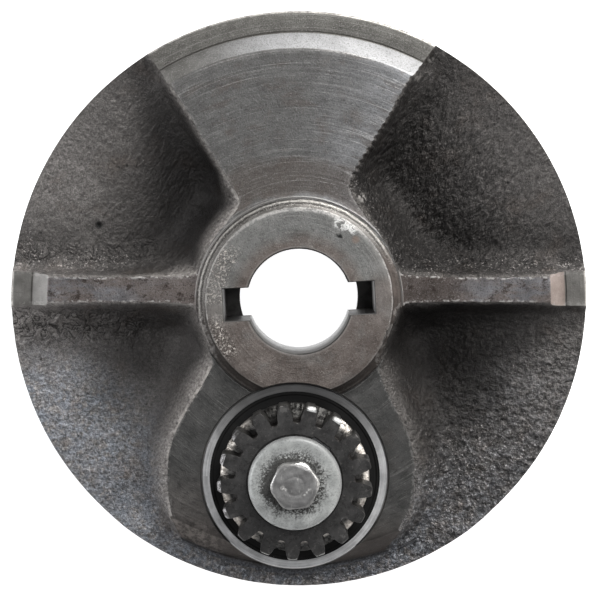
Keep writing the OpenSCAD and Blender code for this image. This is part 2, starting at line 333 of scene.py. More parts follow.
    def blob(self, xm, ym, cx, cy, rad):
        """1 at a point in mm, falling to 0 at the radius."""
        dx, dy = self.math("SUBTRACT", xm, cx), self.math("SUBTRACT", ym, cy)
        q = self.add(self.mul(dx, dx), self.mul(dy, dy))
        return self.ramp(q, 0.0, rad * rad, 1.0, 0.0)

    def stroke(self, xm, ym, p, q, width):
        """1 on the segment from p to q in mm, falling to 0 at the width."""
        ux, uy = q[0] - p[0], q[1] - p[1]
        L = ux * ux + uy * uy
        dx, dy = self.math("SUBTRACT", xm, p[0]), self.math("SUBTRACT", ym, p[1])
        t = self.add(self.mul(dx, ux / L), self.mul(dy, uy / L), clamp=True)
        ex, ey = self.math("SUBTRACT", dx, self.mul(t, ux)), self.math("SUBTRACT", dy, self.mul(t, uy))
        d = self.math("SQRT", self.add(self.mul(ex, ex), self.mul(ey, ey)))
        return self.ramp(d, width * 0.3, width, 1.0, 0.0)

    def done(self, color, rough, metallic=0.0, spec=None, coat=None, coat_rough=None):
        self.put(self.bsdf.inputs["Base Color"], color)
        self.put(self.bsdf.inputs["Roughness"], rough)
        self.put(self.bsdf.inputs["Metallic"], metallic)
        if spec is not None:
            self.bsdf.inputs["Specular IOR Level"].default_value = spec
        if coat is not None:
            self.bsdf.inputs["Coat Weight"].default_value = coat
            self.bsdf.inputs["Coat Roughness"].default_value = coat_rough or 0.2
        if self._h is not None:
            self.put(self.bsdf.inputs["Normal"], self._h)
        return self.mat


def polar(g, cx=0.0, cy=0.0):
    """Distance in mm and angle in radians about a vertical axis, and offsets."""
    x, y, z = g.xyz()
    x = g.math("SUBTRACT", x, cx * MM)
    y = g.math("SUBTRACT", y, cy * MM)
    d = g.vec("LENGTH", g.join(x, y, 0.0))
    return g.math("MULTIPLY", d, 1000.0), g.math("ARCTAN2", y, x), x, y, z


# ---------------------------------------------------------------- materials
def mat_cast():
    """Sand-cast skin of the pockets, painted lighter or darker per vertex: painted shade in the deep parts, painted
    light where the skin faces the lamps, a painted bluish sheen, painted glints and a light-coloured lip that is partly
    a painted highlight.
    """
    g = G("iron_cast")
    r, a, x, y, z = polar(g)
    dd, tone, blue_sheen = g.attr("dd"), g.attr("tone"), g.attr("blue_sheen")
    bumpy, crink, strok, lip = g.attr("bumpy"), g.attr("crink"), g.attr("stroke"), g.attr("lip")
    mid = g.noise(6.5, 5, 0.62)
    fine = g.noise(1.0, 5, 0.7)
    grit = g.noise(0.42, 3, 0.75)
    t = g.mul(tone, g.ramp(mid, 0.25, 0.75, 0.82, 1.15, smooth=False))
    # light and dark grains
    t = g.mul(t, g.fmix(blue_sheen, g.ramp(fine, 0.32, 0.68, 0.5, 1.45, smooth=False), g.ramp(fine, 0.36, 0.64, 0.42, 1.65, smooth=False)))
    t = g.math("MULTIPLY", t, g.ramp(grit, 0.34, 0.66, 0.62, 1.4, smooth=False), clamp=True)
    u = g.add(g.mul(x, 0.5), g.mul(y, 0.866))
    v = g.add(g.mul(x, 0.866), g.mul(y, -0.5))
    grain = g.noise(1.5, 3, 0.6, vec=g.join(g.mul(u, 0.4), v, z))
    t = g.mul(t, g.fmix(strok, 1.0, g.ramp(grain, 0.36, 0.64, 0.5, 1.5, smooth=False)))
    lump = g.noise(2.1, 3, 0.62)
    t = g.mul(t, g.fmix(g.math("MAXIMUM", bumpy, g.mul(blue_sheen, 0.45)), 1.0, g.ramp(lump, 0.36, 0.64, 0.45, 1.55, smooth=False)))
    ridge = g.math("ABSOLUTE", g.math("SUBTRACT", g.noise(5.0, 4, 0.62, dist=0.8), 0.5))
    t = g.mul(t, g.fmix(crink, 1.0, g.ramp(ridge, 0.0, 0.045, 0.08, 1.35)))
    glint = g.attr("glint")
    spark = g.mul(g.ramp(g.add(g.noise(0.8, 2, 0.6), g.mul(g.math("SUBTRACT", lump, 0.5), 0.35)), 0.59, 0.68), g.add(g.mul(glint, 0.95), 0.06, clamp=True))
    t = g.add(t, g.mul(spark, 0.75), clamp=True)
    col = g.mix(t, (0.009, 0.0077, 0.0072), (0.41, 0.385, 0.37))
    cool = g.mix(t, (0.010, 0.0105, 0.012), (0.37, 0.395, 0.44))
    # painted bluish sheen on the lower pockets, broken up by noise
    col = g.mix(g.mul(g.mul(blue_sheen, g.ramp(mid, 0.3, 0.65, 0.35, 1.0)), g.ramp(g.noise(3.4, 4, 0.7), 0.6, 0.5, 0.2, 1.0)), col, cool)
    # rust-brown shading in places
    col = g.mix(g.ramp(g.noise(15, 4, 0.6), 0.52, 0.74, 0.0, 0.45), col, g.mix(t, (0.012, 0.008, 0.006), (0.36, 0.28, 0.23)))
    # worn, rounded lip round the turned faces: its light colour is rubbed metal and a painted highlight on the
    # rounding, with a ragged light line along the very edge
    lipw = g.attr("lipw")
    e = g.math("DIVIDE", g.add(dd, g.mul(g.math("SUBTRACT", g.noise(1.6, 4, 0.7), 0.5), 2.4)), lipw)
    worn = g.mul(g.mul(g.ramp(e, -0.3, 0.12), g.ramp(e, 0.3, 1.35, 1.0, 0.0)), lip)
    lip_wear_highlight_col = g.mix(g.ramp(fine, 0.35, 0.65), (0.14, 0.127, 0.119), (0.36, 0.338, 0.32))
    col = g.mix(g.mul(worn, 0.9), col, lip_wear_highlight_col)
    lip2 = g.mul(lip, lip)
    ragged = g.mul(g.band(g.add(dd, g.mul(g.math("SUBTRACT", lump, 0.5), 3.0)), -0.6, 0.0, 0.7, 1.3), g.mul(lip2, g.ramp(mid, 0.42, 0.56)))
    col = g.mix(g.mul(ragged, 0.9), col, (0.42, 0.395, 0.37))
    # dark pores
    pores = g.ramp(g.voronoi(3.6, rand=1.0), 0.10, 0.2, 1.0, 0.0)
    pores = g.mul(pores, g.ramp(g.noise(9, 2, 0.5), 0.5, 0.62))
    col = g.mix(g.mul(pores, 0.7), col, (0.006, 0.005, 0.005))
    xm, ym = g.mul(x, 1000.0), g.mul(y, 1000.0)
    col = g.mix(g.blob(xm, ym, -77.7, 28.8, 1.9), col, (0.003, 0.003, 0.003))
    for cx, cy, rad in ((45.0, 86.0, 2.6), (24.0, 39.4, 2.4), (50.5, 92.5, 1.6)):
        col = g.mix(g.mul(g.blob(xm, ym, cx, cy, rad), g.ramp(lump, 0.42, 0.52)), col, (0.3, 0.285, 0.27))
    rough = g.fmix(g.ramp(mid, 0.3, 0.7), 0.38, 0.56)
    rough = g.math("SUBTRACT", rough, g.mul(bumpy, 0.12))
    rough = g.fmix(worn, rough, 0.36)
    # bumps of the sand skin
    g.bump(g.mul(g.noise(2.4, 3, 0.6), g.fmix(bumpy, 0.4, 1.6)), 1.1, 1.0)
    g.bump(g.mul(fine, g.fmix(bumpy, 0.8, 1.2)), 0.5, 1.0)
    g.bump(g.mul(ridge, crink), 5.0, 1.0)
    g.bump(g.mul(grain, strok), 2.4, 1.0)
    g.bump(g.mul(lump, g.fmix(bumpy, g.mul(blue_sheen, 0.7), 1.6)), 1.1, 1.0)
    g.bump(grit, 0.16, 0.9)
    return g.done(col, rough, 0.55, spec=0.5)


def mat_turned():
    """The turned front: sector, ribs, hub, boss, bevel and rim band."""
    g = G("iron_turned")
    r, a, x, y, z = polar(g)
    xm, ym = g.mul(x, 1000.0), g.mul(y, 1000.0)
    dd = g.attr("dd")
    big = g.noise(26, 3, 0.5)
    mid = g.noise(6, 5, 0.62)
    fine = g.noise(1.0, 5, 0.7)
    speck = g.noise(0.45, 2, 0.6)
    cells = g.voronoi(0.95)
    # concentric tool marks: noise of the radius, with a little drift round the disc
    rv = g.join(g.mul(r, 0.001), g.mul(a, 0.0009), g.mul(z, 0.3))
    ring1 = g.noise(3.9, 2, 0.5, vec=rv)
    ring2 = g.noise(0.62, 2, 0.6, vec=rv)
    ring3 = g.noise(1.7, 2, 0.5, vec=rv)
    line = g.ramp(g.math("ABSOLUTE", g.math("SUBTRACT", ring1, 0.5)), 0.0, 0.018, 1.0, 0.0)
    arcs = g.noise(5.5, 3, 0.6, vec=g.join(g.mul(r, 0.0012), g.mul(a, 0.022), 0.0))
    line = g.mul(line, g.ramp(arcs, 0.38, 0.6, 0.15, 1.0))
    line = g.mul(line, g.ramp(fine, 0.38, 0.6, 0.2, 1.0))
    dash = g.noise(0.9, 3, 0.6, vec=g.join(g.mul(r, 0.001), g.mul(a, 0.02), 0.0))
    pepper = g.noise(0.62, 3, 0.75)
    line2 = g.ramp(g.math("ABSOLUTE", g.math("SUBTRACT", ring3, 0.5)), 0.0, 0.02, 1.0, 0.0)
    arcs2 = g.noise(7, 3, 0.6, vec=g.join(g.mul(r, 0.0011), g.mul(a, 0.03), 0.003))
    line2 = g.mul(g.mul(line2, g.ramp(arcs2, 0.42, 0.6)), g.ramp(fine, 0.4, 0.58, 0.3, 1.0))
    # zones
    hub = g.ramp(z, 0.0445, 0.0448)
    should = g.mul(g.ramp(z, 0.0421, 0.0423), g.inv(hub))
    high = g.mul(g.ramp(z, 0.0416, 0.0418), g.inv(g.add(hub, should, clamp=True)))
    rim = g.ramp(z, 0.0364, 0.0361)
    bevel = g.mul(g.inv(g.add(g.add(high, rim, clamp=True), g.add(hub, should, clamp=True), clamp=True)), g.ramp(r, 94.0, 95.0))
    upper = g.ramp(ym, 10.0, 14.0)
    lower = g.ramp(ym, -3.0, -8.0)
    ribs = g.mul(g.inv(g.add(upper, lower, clamp=True)), g.ramp(r, 39.8, 40.2))
    mott = g.ramp(mid, 0.3, 0.7, smooth=False)
    right = g.ramp(g.add(xm, g.mul(ym, -0.25)), -22.0, 26.0)
    # wide sector, painted brighter on its right: a painted sheen from the light at the upper right
    sect = g.mix(mott, (0.115, 0.113, 0.11), (0.175, 0.172, 0.168))
    sect = g.mix(g.mul(right, g.ramp(big, 0.3, 0.6, 0.5, 1.0)), sect, g.mix(mott, (0.2, 0.203, 0.21), (0.36, 0.365, 0.378)))
    sect = g.mix(g.ramp(arcs, 0.54, 0.68, 0.0, 0.6), sect, (0.125, 0.108, 0.098))
    near = g.band(g.add(r, g.mul(big, 14.0)), 48.0, 50.0, 58.0, 66.0)
    sect = g.mix(g.mul(near, 0.6), sect, (0.125, 0.103, 0.09))
    sect = g.mix(g.ramp(dash, 0.52, 0.72, 0.0, 0.2), sect, (0.3, 0.298, 0.292))
    sect = g.mix(g.ramp(dash, 0.46, 0.3, 0.0, 0.3), sect, (0.07, 0.068, 0.066))
    sect = g.mix(g.mul(g.ramp(pepper, 0.56, 0.68, 0.0, 0.55), g.fmix(right, 0.55, 1.0)), sect, (0.42, 0.415, 0.41))
    sect = g.mix(g.ramp(pepper, 0.45, 0.34, 0.0, 0.5), sect, (0.045, 0.043, 0.041))
    sect = g.mix(g.ramp(g.noise(8, 5, 0.65), 0.55, 0.7, 0.0, 0.4), sect, (0.13, 0.105, 0.092))
    sect = g.mix(g.mul(line2, g.fmix(right, 0.3, 0.85)), sect, (0.5, 0.49, 0.48))
    sect = g.mix(g.mul(line, g.fmix(right, 0.35, 0.9)), sect, (0.5, 0.49, 0.48))
    # side ribs: brown, with cooler and rubbed patches
    pur = g.ramp(g.noise(13, 6, 0.72, vec=g.join(g.mul(x, 0.7), g.mul(y, 1.8), z)), 0.42, 0.62)
    rib = g.mix(mott, (0.118, 0.096, 0.087), (0.235, 0.205, 0.193))
    rib = g.mix(g.mul(pur, g.ramp(g.math("ABSOLUTE", xm), 55.0, 75.0, 0.3, 1.0)), rib, g.mix(mott, (0.12, 0.12, 0.13), (0.27, 0.27, 0.285)))
    rib = g.mix(g.mul(g.ramp(xm, 20.0, 40.0), g.ramp(xm, 66.0, 56.0, 0.0, 0.75)), rib, g.mix(mott, (0.045, 0.034, 0.029), (0.1, 0.08, 0.071)))
    rib = g.mix(g.ramp(g.noise(4.5, 4, 0.65), 0.57, 0.66, 0.0, 0.8), rib, (0.04, 0.028, 0.022))
    rib = g.mix(g.ramp(speck, 0.6, 0.72, 0, 0.5), rib, (0.4, 0.385, 0.38))
    rib = g.mix(g.ramp(pepper, 0.58, 0.68, 0.0, 0.6), rib, (0.36, 0.34, 0.335))
    rib = g.mix(g.ramp(pepper, 0.45, 0.36, 0.0, 0.7), rib, (0.03, 0.023, 0.02))
    # hub: grey above, brown below and round the bore
    grey = g.mix(mott, (0.17, 0.17, 0.164), (0.29, 0.29, 0.28))
    brown = g.mix(mott, (0.14, 0.116, 0.104), (0.24, 0.208, 0.19))
    bm = g.add(g.add(g.ramp(ym, 10.0, -16.0), g.ramp(g.add(r, g.mul(big, 8.0)), 32.0, 26.0), clamp=True),
               g.mul(g.ramp(xm, 25.0, 30.0), g.ramp(ym, 12.0, 6.0)), clamp=True)
    bm = g.mul(bm, g.ramp(g.noise(9, 4, 0.6), 0.3, 0.5, 0.55, 1.0))
    hubc = g.mix(bm, grey, brown)
    pit = g.mul(g.band(a, 2.35, 2.6, 3.2, 3.3), g.ramp(r, 27.0, 30.0))
    pit = g.add(pit, g.mul(g.ramp(a, -3.05, -2.85, 0.0, 1.0), g.mul(g.ramp(a, -2.55, -2.35, 1.0, 0.0), g.ramp(r, 28.5, 31.0))), clamp=True)
    pit = g.add(pit, g.mul(g.ramp(a, -3.15, -3.05, 1.0, 0.0), g.ramp(r, 28.0, 31.0)), clamp=True)
    spk = g.mul(g.ramp(g.noise(0.8, 3, 0.75), 0.53, 0.6), g.ramp(g.noise(3.5, 3, 0.6), 0.38, 0.5, 0.3, 1.0))
    pit = g.mul(pit, g.ramp(g.noise(4.0, 4, 0.65), 0.33, 0.45, 0.25, 1.0))
    hubc = g.mix(g.mul(pit, g.ramp(g.noise(0.9, 3, 0.7), 0.46, 0.52, 0.7, 0.0)), hubc, (0.05, 0.043, 0.038))
    hubc = g.mix(g.mul(pit, spk), hubc, (0.8, 0.74, 0.68))
    hubc = g.mix(g.ramp(pepper, 0.57, 0.67, 0.0, 0.5), hubc, (0.42, 0.39, 0.365))
    hubc = g.mix(g.ramp(pepper, 0.44, 0.34, 0.0, 0.55), hubc, (0.06, 0.052, 0.047))
    hubc = g.mix(g.mul(g.ramp(g.math("ABSOLUTE", xm), 25.0, 31.0, 0.0, 0.34), g.ramp(ym, -12.0, 0.0)), hubc, g.mix(mott, (0.24, 0.225, 0.212), (0.36, 0.34, 0.325)))
    # the scratched patch and the small pit below it
    wig = g.mul(g.math("SUBTRACT", g.noise(2.6, 3, 0.6), 0.5), 3.4)
    xs, ys = g.add(xm, wig), g.add(ym, g.mul(wig, -0.7))
    mark = g.stroke(xs, ys, (14.6, 30.0), (20.2, 27.6), 3.0)
    veins = g.math("ABSOLUTE", g.math("SUBTRACT", g.noise(3.0, 3, 0.6, dist=1.2), 0.5))
    mark = g.mul(mark, g.ramp(veins, 0.06, 0.1, 1.0, 0.0))
    mark = g.mul(mark, g.ramp(g.noise(0.9, 3, 0.7), 0.38, 0.5, 0.3, 1.0))
    hubc = g.mix(g.mul(mark, 0.95), hubc, (0.95, 0.94, 0.92))
    hubc = g.mix(g.blob(xs, ys, 15.4, 25.0, 1.2), hubc, (0.02, 0.02, 0.02))
    hubc = g.mix(g.mul(g.blob(xm, ym, 21.6, 23.6, 2.0), 0.7), hubc, (0.3, 0.225, 0.185))
    # turned shoulder round the hub
    shc = g.mix(mott, (0.1, 0.094, 0.088), (0.2, 0.19, 0.18))
    wob = g.add(r, g.mul(g.math("SUBTRACT", g.noise(3.0, 3, 0.6), 0.5), 0.8))
    shc = g.mix(g.mul(g.band(wob, 37.9, 38.1, 38.4, 38.6), g.ramp(fine, 0.4, 0.55, 0.3, 0.9)), shc, (0.5, 0.48, 0.45))
    shc = g.mix(g.mul(g.band(wob, 37.0, 37.2, 37.6, 37.8), 0.8), shc, (0.04, 0.037, 0.034))
    shc = g.mix(g.band(wob, 38.7, 38.85, 39.4, 39.6), shc, (0.035, 0.032, 0.03))
    shc = g.mix(g.ramp(pepper, 0.55, 0.65, 0.0, 0.7), shc, (0.45, 0.43, 0.4))
    east = g.mul(g.ramp(xm, 20.0, 31.0), g.ramp(ym, 24.0, 14.0))
    shc = g.mix(g.mul(east, 0.9), shc, g.mix(mott, (0.05, 0.04, 0.035), (0.12, 0.098, 0.088)))
    # painted shadow: the shoulder darker towards the bottom
    shc = g.mix(g.mul(g.ramp(ym, 6.0, -14.0), 0.85), shc, g.mix(mott, (0.035, 0.029, 0.026), (0.085, 0.072, 0.065)))
    # bearing boss: darker, oily
    bossc = g.mix(mott, (0.072, 0.072, 0.07), (0.125, 0.123, 0.12))
    bossc = g.mix(g.mul(g.ramp(ym, -60.0, -80.0), g.ramp(xm, -25.0, -38.0, 0.0, 0.8)), bossc, g.mix(mott, (0.09, 0.082, 0.077), (0.2, 0.185, 0.175)))
    bossc = g.mix(g.ramp(pepper, 0.58, 0.68, 0.0, 0.35), bossc, (0.25, 0.24, 0.23))
    bossc = g.mix(g.mul(line2, 0.5), bossc, (0.3, 0.29, 0.28))
    bossc = g.mix(g.ramp(dash, 0.46, 0.34, 0.0, 0.5), bossc, (0.045, 0.044, 0.042))
    bossc = g.mix(g.mul(g.ramp(ym, -78.0, -95.0), 0.8), bossc, g.mix(mott, (0.075, 0.066, 0.06), (0.14, 0.124, 0.114)))
    bossc = g.mix(g.mul(g.ramp(big, 0.5, 0.62), g.ramp(xm, 25.0, 38.0, 0.0, 0.5)), bossc, (0.1, 0.085, 0.077))
    bossc = g.mix(g.mul(g.ramp(ym, -82.0, -89.0), g.ramp(xm, -27.0, -38.0, 0.0, 0.7)), bossc, g.mix(g.ramp(g.noise(2.4, 4, 0.7), 0.4, 0.6), (0.075, 0.066, 0.06), (0.24, 0.215, 0.2)))
    # bevel and rim band; the bevel is painted bright at the top and right, duller on the left and dark below: a painted
    # highlight and painted shade from the light at the upper right
    bright = g.mix(mott, (0.265, 0.265, 0.268), (0.365, 0.365, 0.37))
    bright = g.mix(g.ramp(pepper, 0.5, 0.36, 0.0, 0.75), bright, (0.15, 0.15, 0.15))
    bright = g.mix(g.ramp(g.noise(3.0, 4, 0.7), 0.55, 0.68, 0.0, 0.4), bright, (0.2, 0.2, 0.2))
    duller = g.mix(mott, (0.1, 0.097, 0.09), (0.165, 0.16, 0.152))
    duller = g.mix(g.ramp(pepper, 0.56, 0.66, 0.0, 0.5), duller, (0.4, 0.39, 0.38))
    bevc = g.mix(g.ramp(xm, -46.0, -8.0), duller, bright)
    bevc = g.mix(g.inv(g.ramp(ym, 16.0, 24.0)), bevc, g.mix(g.ramp(xm, -10.0, 10.0), g.mix(mott, (0.17, 0.165, 0.158), (0.27, 0.262, 0.252)), g.mix(mott, (0.225, 0.18, 0.16), (0.34, 0.285, 0.26))))
    bevc = g.mix(g.ramp(ym, -10.0, -20.0), bevc, g.mix(mott, (0.04, 0.034, 0.031), (0.085, 0.074, 0.068)))
    bevc = g.mix(g.mul(g.ramp(ym, -76.0, -86.0), g.ramp(xm, -24.0, -36.0, 0.0, 0.85)), bevc, g.mix(g.ramp(g.noise(2.4, 4, 0.7), 0.4, 0.6), (0.06, 0.053, 0.048), (0.18, 0.16, 0.148)))
    rimc = g.mix(mott, (0.115, 0.111, 0.101), (0.2, 0.194, 0.18))
    rimc = g.mix(g.ramp(ring2, 0.56, 0.72, 0.0, 0.6), rimc, (0.34, 0.33, 0.315))
    rimc = g.mix(g.ramp(dash, 0.54, 0.7, 0.0, 0.3), rimc, (0.4, 0.39, 0.37))
    rimc = g.mix(g.ramp(pepper, 0.55, 0.65, 0.0, 0.55), rimc, (0.42, 0.41, 0.39))
    rimc = g.mix(g.ramp(speck, 0.5, 0.66, 0.0, 0.6), rimc, (0.06, 0.056, 0.051))
    rimc = g.mix(g.band(ym, -12.0, -6.0, 12.0, 22.0), rimc, g.mix(mott, (0.15, 0.144, 0.134), (0.25, 0.242, 0.228)))
    rimc = g.mix(g.ramp(ym, -20.0, -40.0), rimc, g.mix(mott, (0.045, 0.04, 0.037), (0.095, 0.085, 0.08)))
    rimc = g.mix(g.mul(g.ramp(g.add(dd, g.mul(g.math("SUBTRACT", mid, 0.5), 3.0)), -3.2, -0.4), g.ramp(ym, -80.0, -92.0)), rimc, g.mix(g.ramp(fine, 0.34, 0.66), (0.045, 0.046, 0.05), (0.16, 0.165, 0.18)))
    foot = g.band(r, 102.5, 102.8, 103.15, 103.5)
    rimc = g.mix(g.mul(foot, 0.55), rimc, (0.04, 0.036, 0.032))
    col = g.mix(upper, bossc, sect)
    col = g.mix(g.mul(g.inv(g.add(upper, lower, clamp=True)), 1.0), col, rib)
    col = g.mix(should, col, shc)
    col = g.mix(hub, col, hubc)
    col = g.mix(bevel, col, bevc)
    col = g.mix(rim, col, rimc)
    # bright along every broken edge: rubbed metal and a painted highlight, plus a painted highlight round the hub edge,
    # widest at the top, and along the upper part of the shoulder's outer edge
    e = g.add(dd, g.mul(g.math("SUBTRACT", g.noise(1.3, 4, 0.7), 0.5), 3.0))
    edge = g.mul(g.ramp(e, -0.9, -0.1), g.fmix(ribs, 0.3, 1.0))
    edge = g.mul(edge, g.ramp(g.noise(2.6, 4, 0.7), 0.47, 0.56, 0.06, 1.0))
    edge = g.mul(edge, g.ramp(r, 97.0, 95.0, 0.3, 1.0))
    edge = g.mul(edge, g.ramp(ym, -92.0, -80.0))
    hw = g.ramp(ym, 20.0, 32.0)
    hr = g.add(wob, g.mul(hw, 0.3))
    he = g.math("MAXIMUM", g.mul(g.band(hr, 34.7, 35.0, 36.1, 36.6), hw), g.band(hr, 35.2, 35.4, 35.75, 36.0))
    he = g.mul(he, g.ramp(g.noise(2.0, 4, 0.7), 0.42, 0.56, 0.12, 1.0))
    he = g.mul(he, g.ramp(ym, -26.0, -8.0, 0.2, 1.0))
    oe = g.mul(g.mul(g.band(r, 39.15, 39.35, 39.8, 40.1), g.ramp(ym, -6.0, 4.0)), 0.8)
    be = g.mul(g.band(r, 20.1, 20.3, 20.9, 21.4), 0.25)
    edge_wear_and_highlight = g.math("MAXIMUM", g.math("MAXIMUM", edge, he), g.math("MAXIMUM", oe, be))
    col = g.mix(g.mul(edge_wear_and_highlight, 0.8), col, (0.56, 0.54, 0.52))
    # grains and small dark pits everywhere
    col = g.mix(g.ramp(fine, 0.6, 0.8, 0, 0.22), col, (0.55, 0.53, 0.51))
    col = g.mix(g.ramp(speck, 0.6, 0.74, 0, 0.35), col, (0.05, 0.045, 0.04))
    rough = g.fmix(mott, 0.36, 0.5)
    rough = g.fmix(g.mul(bevel, upper), rough, 0.6)
    g.bump(ring3, 0.10, 0.8)
    g.bump(ring2, 0.05, 0.8)
    g.bump(g.mul(line, 1.0), 0.06, 0.7)
    g.bump(dash, 0.03, 0.7)
    g.bump(pepper, 0.1, 0.9)
    g.bump(fine, 0.08, 0.8)
    g.bump(g.mul(g.noise(1.4, 4, 0.7), g.add(g.mul(pit, 0.4), g.mul(should, 0.6), clamp=True)), 0.4, 0.8)
    return g.done(col, rough, 0.72, spec=0.5)


def mat_bore():
    """Walls cut by a boring bar: main bore, bearing seats, drive slots."""
    g = G("iron_bored")
    x, y, z = g.xyz()
    lines = g.noise(0.8, 3, 0.6, vec=g.join(g.mul(x, 0.05), g.mul(y, 0.05), z))
    mott = g.noise(5, 4, 0.6)
    col = g.mix(g.ramp(mott, 0.3, 0.7), (0.035, 0.033, 0.032), (0.09, 0.087, 0.084))
    # painted shade: the bored walls lighter towards the mouth and darker deeper down
    col = g.mix(g.ramp(z, 0.030, 0.0445, 0.0, 0.5), col, (0.12, 0.115, 0.11))
    # painted light: the foot of the main bore wall painted near white, the glow of the bright floor below
    rr = g.mul(g.vec("LENGTH", g.join(x, y, 0.0)), 1000.0)
    low = g.mul(g.ramp(z, 0.037, 0.012), g.ramp(rr, 20.4, 20.15))
    col = g.mix(low, col, (0.85, 0.85, 0.85))
    rough = g.fmix(g.ramp(lines, 0.3, 0.7), 0.34, 0.52)
    g.bump(lines, 0.05, 0.6)
    return g.done(col, rough, g.fmix(low, 0.6, 0.0), spec=0.5)


def mat_back():
    """Back face, back recess and the turned outside of the rim."""
    g = G("iron_back")
    r, a, x, y, z = polar(g)
    rv = g.join(g.mul(r, 0.001), g.mul(a, 0.0006), g.mul(z, 1.0))
    ring = g.noise(1.4, 3, 0.6, vec=rv)
    mott = g.noise(9, 5, 0.6)
    fine = g.noise(0.9, 5, 0.65)
    col = g.mix(g.ramp(mott, 0.3, 0.7), (0.085, 0.08, 0.075), (0.15, 0.143, 0.136))
    col = g.mix(g.ramp(ring, 0.46, 0.7, 0.0, 0.45), col, (0.26, 0.252, 0.243))
    col = g.mix(g.ramp(ring, 0.44, 0.3, 0.0, 0.45), col, (0.045, 0.042, 0.039))
    col = g.mix(g.ramp(g.noise(13, 6, 0.72), 0.52, 0.68, 0.0, 0.5), col, (0.1, 0.074, 0.06))
    col = g.mix(g.ramp(fine, 0.6, 0.8, 0, 0.4), col, (0.05, 0.035, 0.025))
    edge = g.band(r, 109.4, 110.3, 111.3, 112.0)
    corner = g.math("MAXIMUM", g.ramp(z, 0.0022, 0.0006), g.ramp(z, 0.0345, 0.0357))
    col = g.mix(g.mul(g.mul(edge, corner), g.ramp(g.noise(3, 4, 0.7), 0.35, 0.6, 0.1, 0.8)), col, (0.55, 0.53, 0.5))
    rough = g.fmix(g.ramp(mott, 0.3, 0.7), 0.38, 0.56)
    g.bump(ring, 0.07, 0.7)
    g.bump(fine, 0.03, 0.6)
    return g.done(col, rough, 0.7, spec=0.5)


def mat_steel(name, lo, hi, rough=(0.3, 0.45), metallic=0.85, mark=None, rings=0.0, ringmm=0.6, bump=0.03, grime=0.0, dirt=(0.03, 0.026, 0.022)):
    """Steel with lathe or grinding rings about the pinion axis, mottling and grime."""
    g = G(name)
    r, a, x, y, z = polar(g, PX, PY)
    rv = g.join(g.mul(r, 0.001), g.mul(a, 0.0004), g.mul(z, 1.0))
    ring = g.noise(ringmm, 2, 0.6, vec=rv)
    mott = g.noise(5.5, 5, 0.62)
    fine = g.noise(0.7, 4, 0.65)
    col = g.mix(g.ramp(mott, 0.3, 0.7), lo, hi)
    col = g.mix(g.ramp(ring, 0.4, 0.7, 0.0, 0.5), col, tuple(min(1.0, 1.25 * c) for c in hi))
    col = g.mix(g.ramp(fine, 0.58, 0.8, 0.0, 0.35), col, tuple(0.5 * c for c in lo))
    if grime:
        gm = g.ramp(g.add(g.mul(mott, 0.5), g.mul(fine, 0.5)), 0.46, 0.62, 0.0, grime)
        col = g.mix(gm, col, dirt)
    if mark is not None:
        col = mark(g, col, r, a, x, y, z)
    ro = g.fmix(g.ramp(mott, 0.3, 0.7), rough[0], rough[1])
    ro = g.add(ro, g.ramp(fine, 0.5, 0.8, 0.0, 0.1))
    if rings:
        g.bump(ring, rings, 0.8)
    g.bump(fine, bump, 0.6)
    return g.done(col, ro, metallic, spec=0.5)


def mat_rubber():
    g = G("seal_rubber")
    r, a, x, y, z = polar(g, PX, PY)
    fine = g.noise(0.6, 4, 0.7)
    mid = g.noise(4, 4, 0.6)
    col = g.mix(g.ramp(mid, 0.35, 0.7), (0.0055, 0.0055, 0.0056), (0.0095, 0.0092, 0.009))
    col = g.mix(g.ramp(fine, 0.66, 0.8, 0.0, 0.5), col, (0.03, 0.028, 0.026))
    ringn = g.noise(1.1, 2, 0.5, vec=g.join(g.mul(r, 0.001), 0.0, 0.0))
    g.bump(ringn, 0.12, 0.6)
    g.bump(fine, 0.05, 0.6)
    return g.done(col, g.fmix(g.ramp(mid, 0.3, 0.7), 0.55, 0.75), 0.0, spec=0.22)


def mark_race(g, col, r, a, x, y, z):
    """A few darker arcs on the race; painted shade darkens the top of its face beside the hub, a painted highlight
    brightens the outer corner except in the south, where it is painted dark, and a painted shadow darkens the outer
    side.
    """
    arcs = g.noise(9, 3, 0.6, vec=g.join(g.mul(r, 0.004), g.mul(a, 0.02), 0.0))
    col = g.mix(g.ramp(arcs, 0.45, 0.7, 0.0, 0.35), col, (0.2, 0.195, 0.19))
    up = g.ramp(g.math("SINE", a), 0.15, 0.85, 0.0, 0.85)
    col = g.mix(g.mul(up, g.ramp(z, RACE_Z1 * MM - 0.004, RACE_Z1 * MM - 0.002)), col, (0.09, 0.088, 0.087))
    south = g.ramp(g.math("SINE", a), -0.3, -0.55)
    col = g.mix(g.mul(g.ramp(r, 35.3, 35.8), g.fmix(south, 0.45, 0.85)), col, g.mix(south, (0.8, 0.8, 0.8), (0.07, 0.068, 0.066)))
    return g.mix(g.mul(g.ramp(r, 35.85, 35.95), g.ramp(z, RACE_Z1 * MM - 0.0004, RACE_Z1 * MM - 0.0009, 0.0, 0.9)), col, (0.05, 0.047, 0.045))


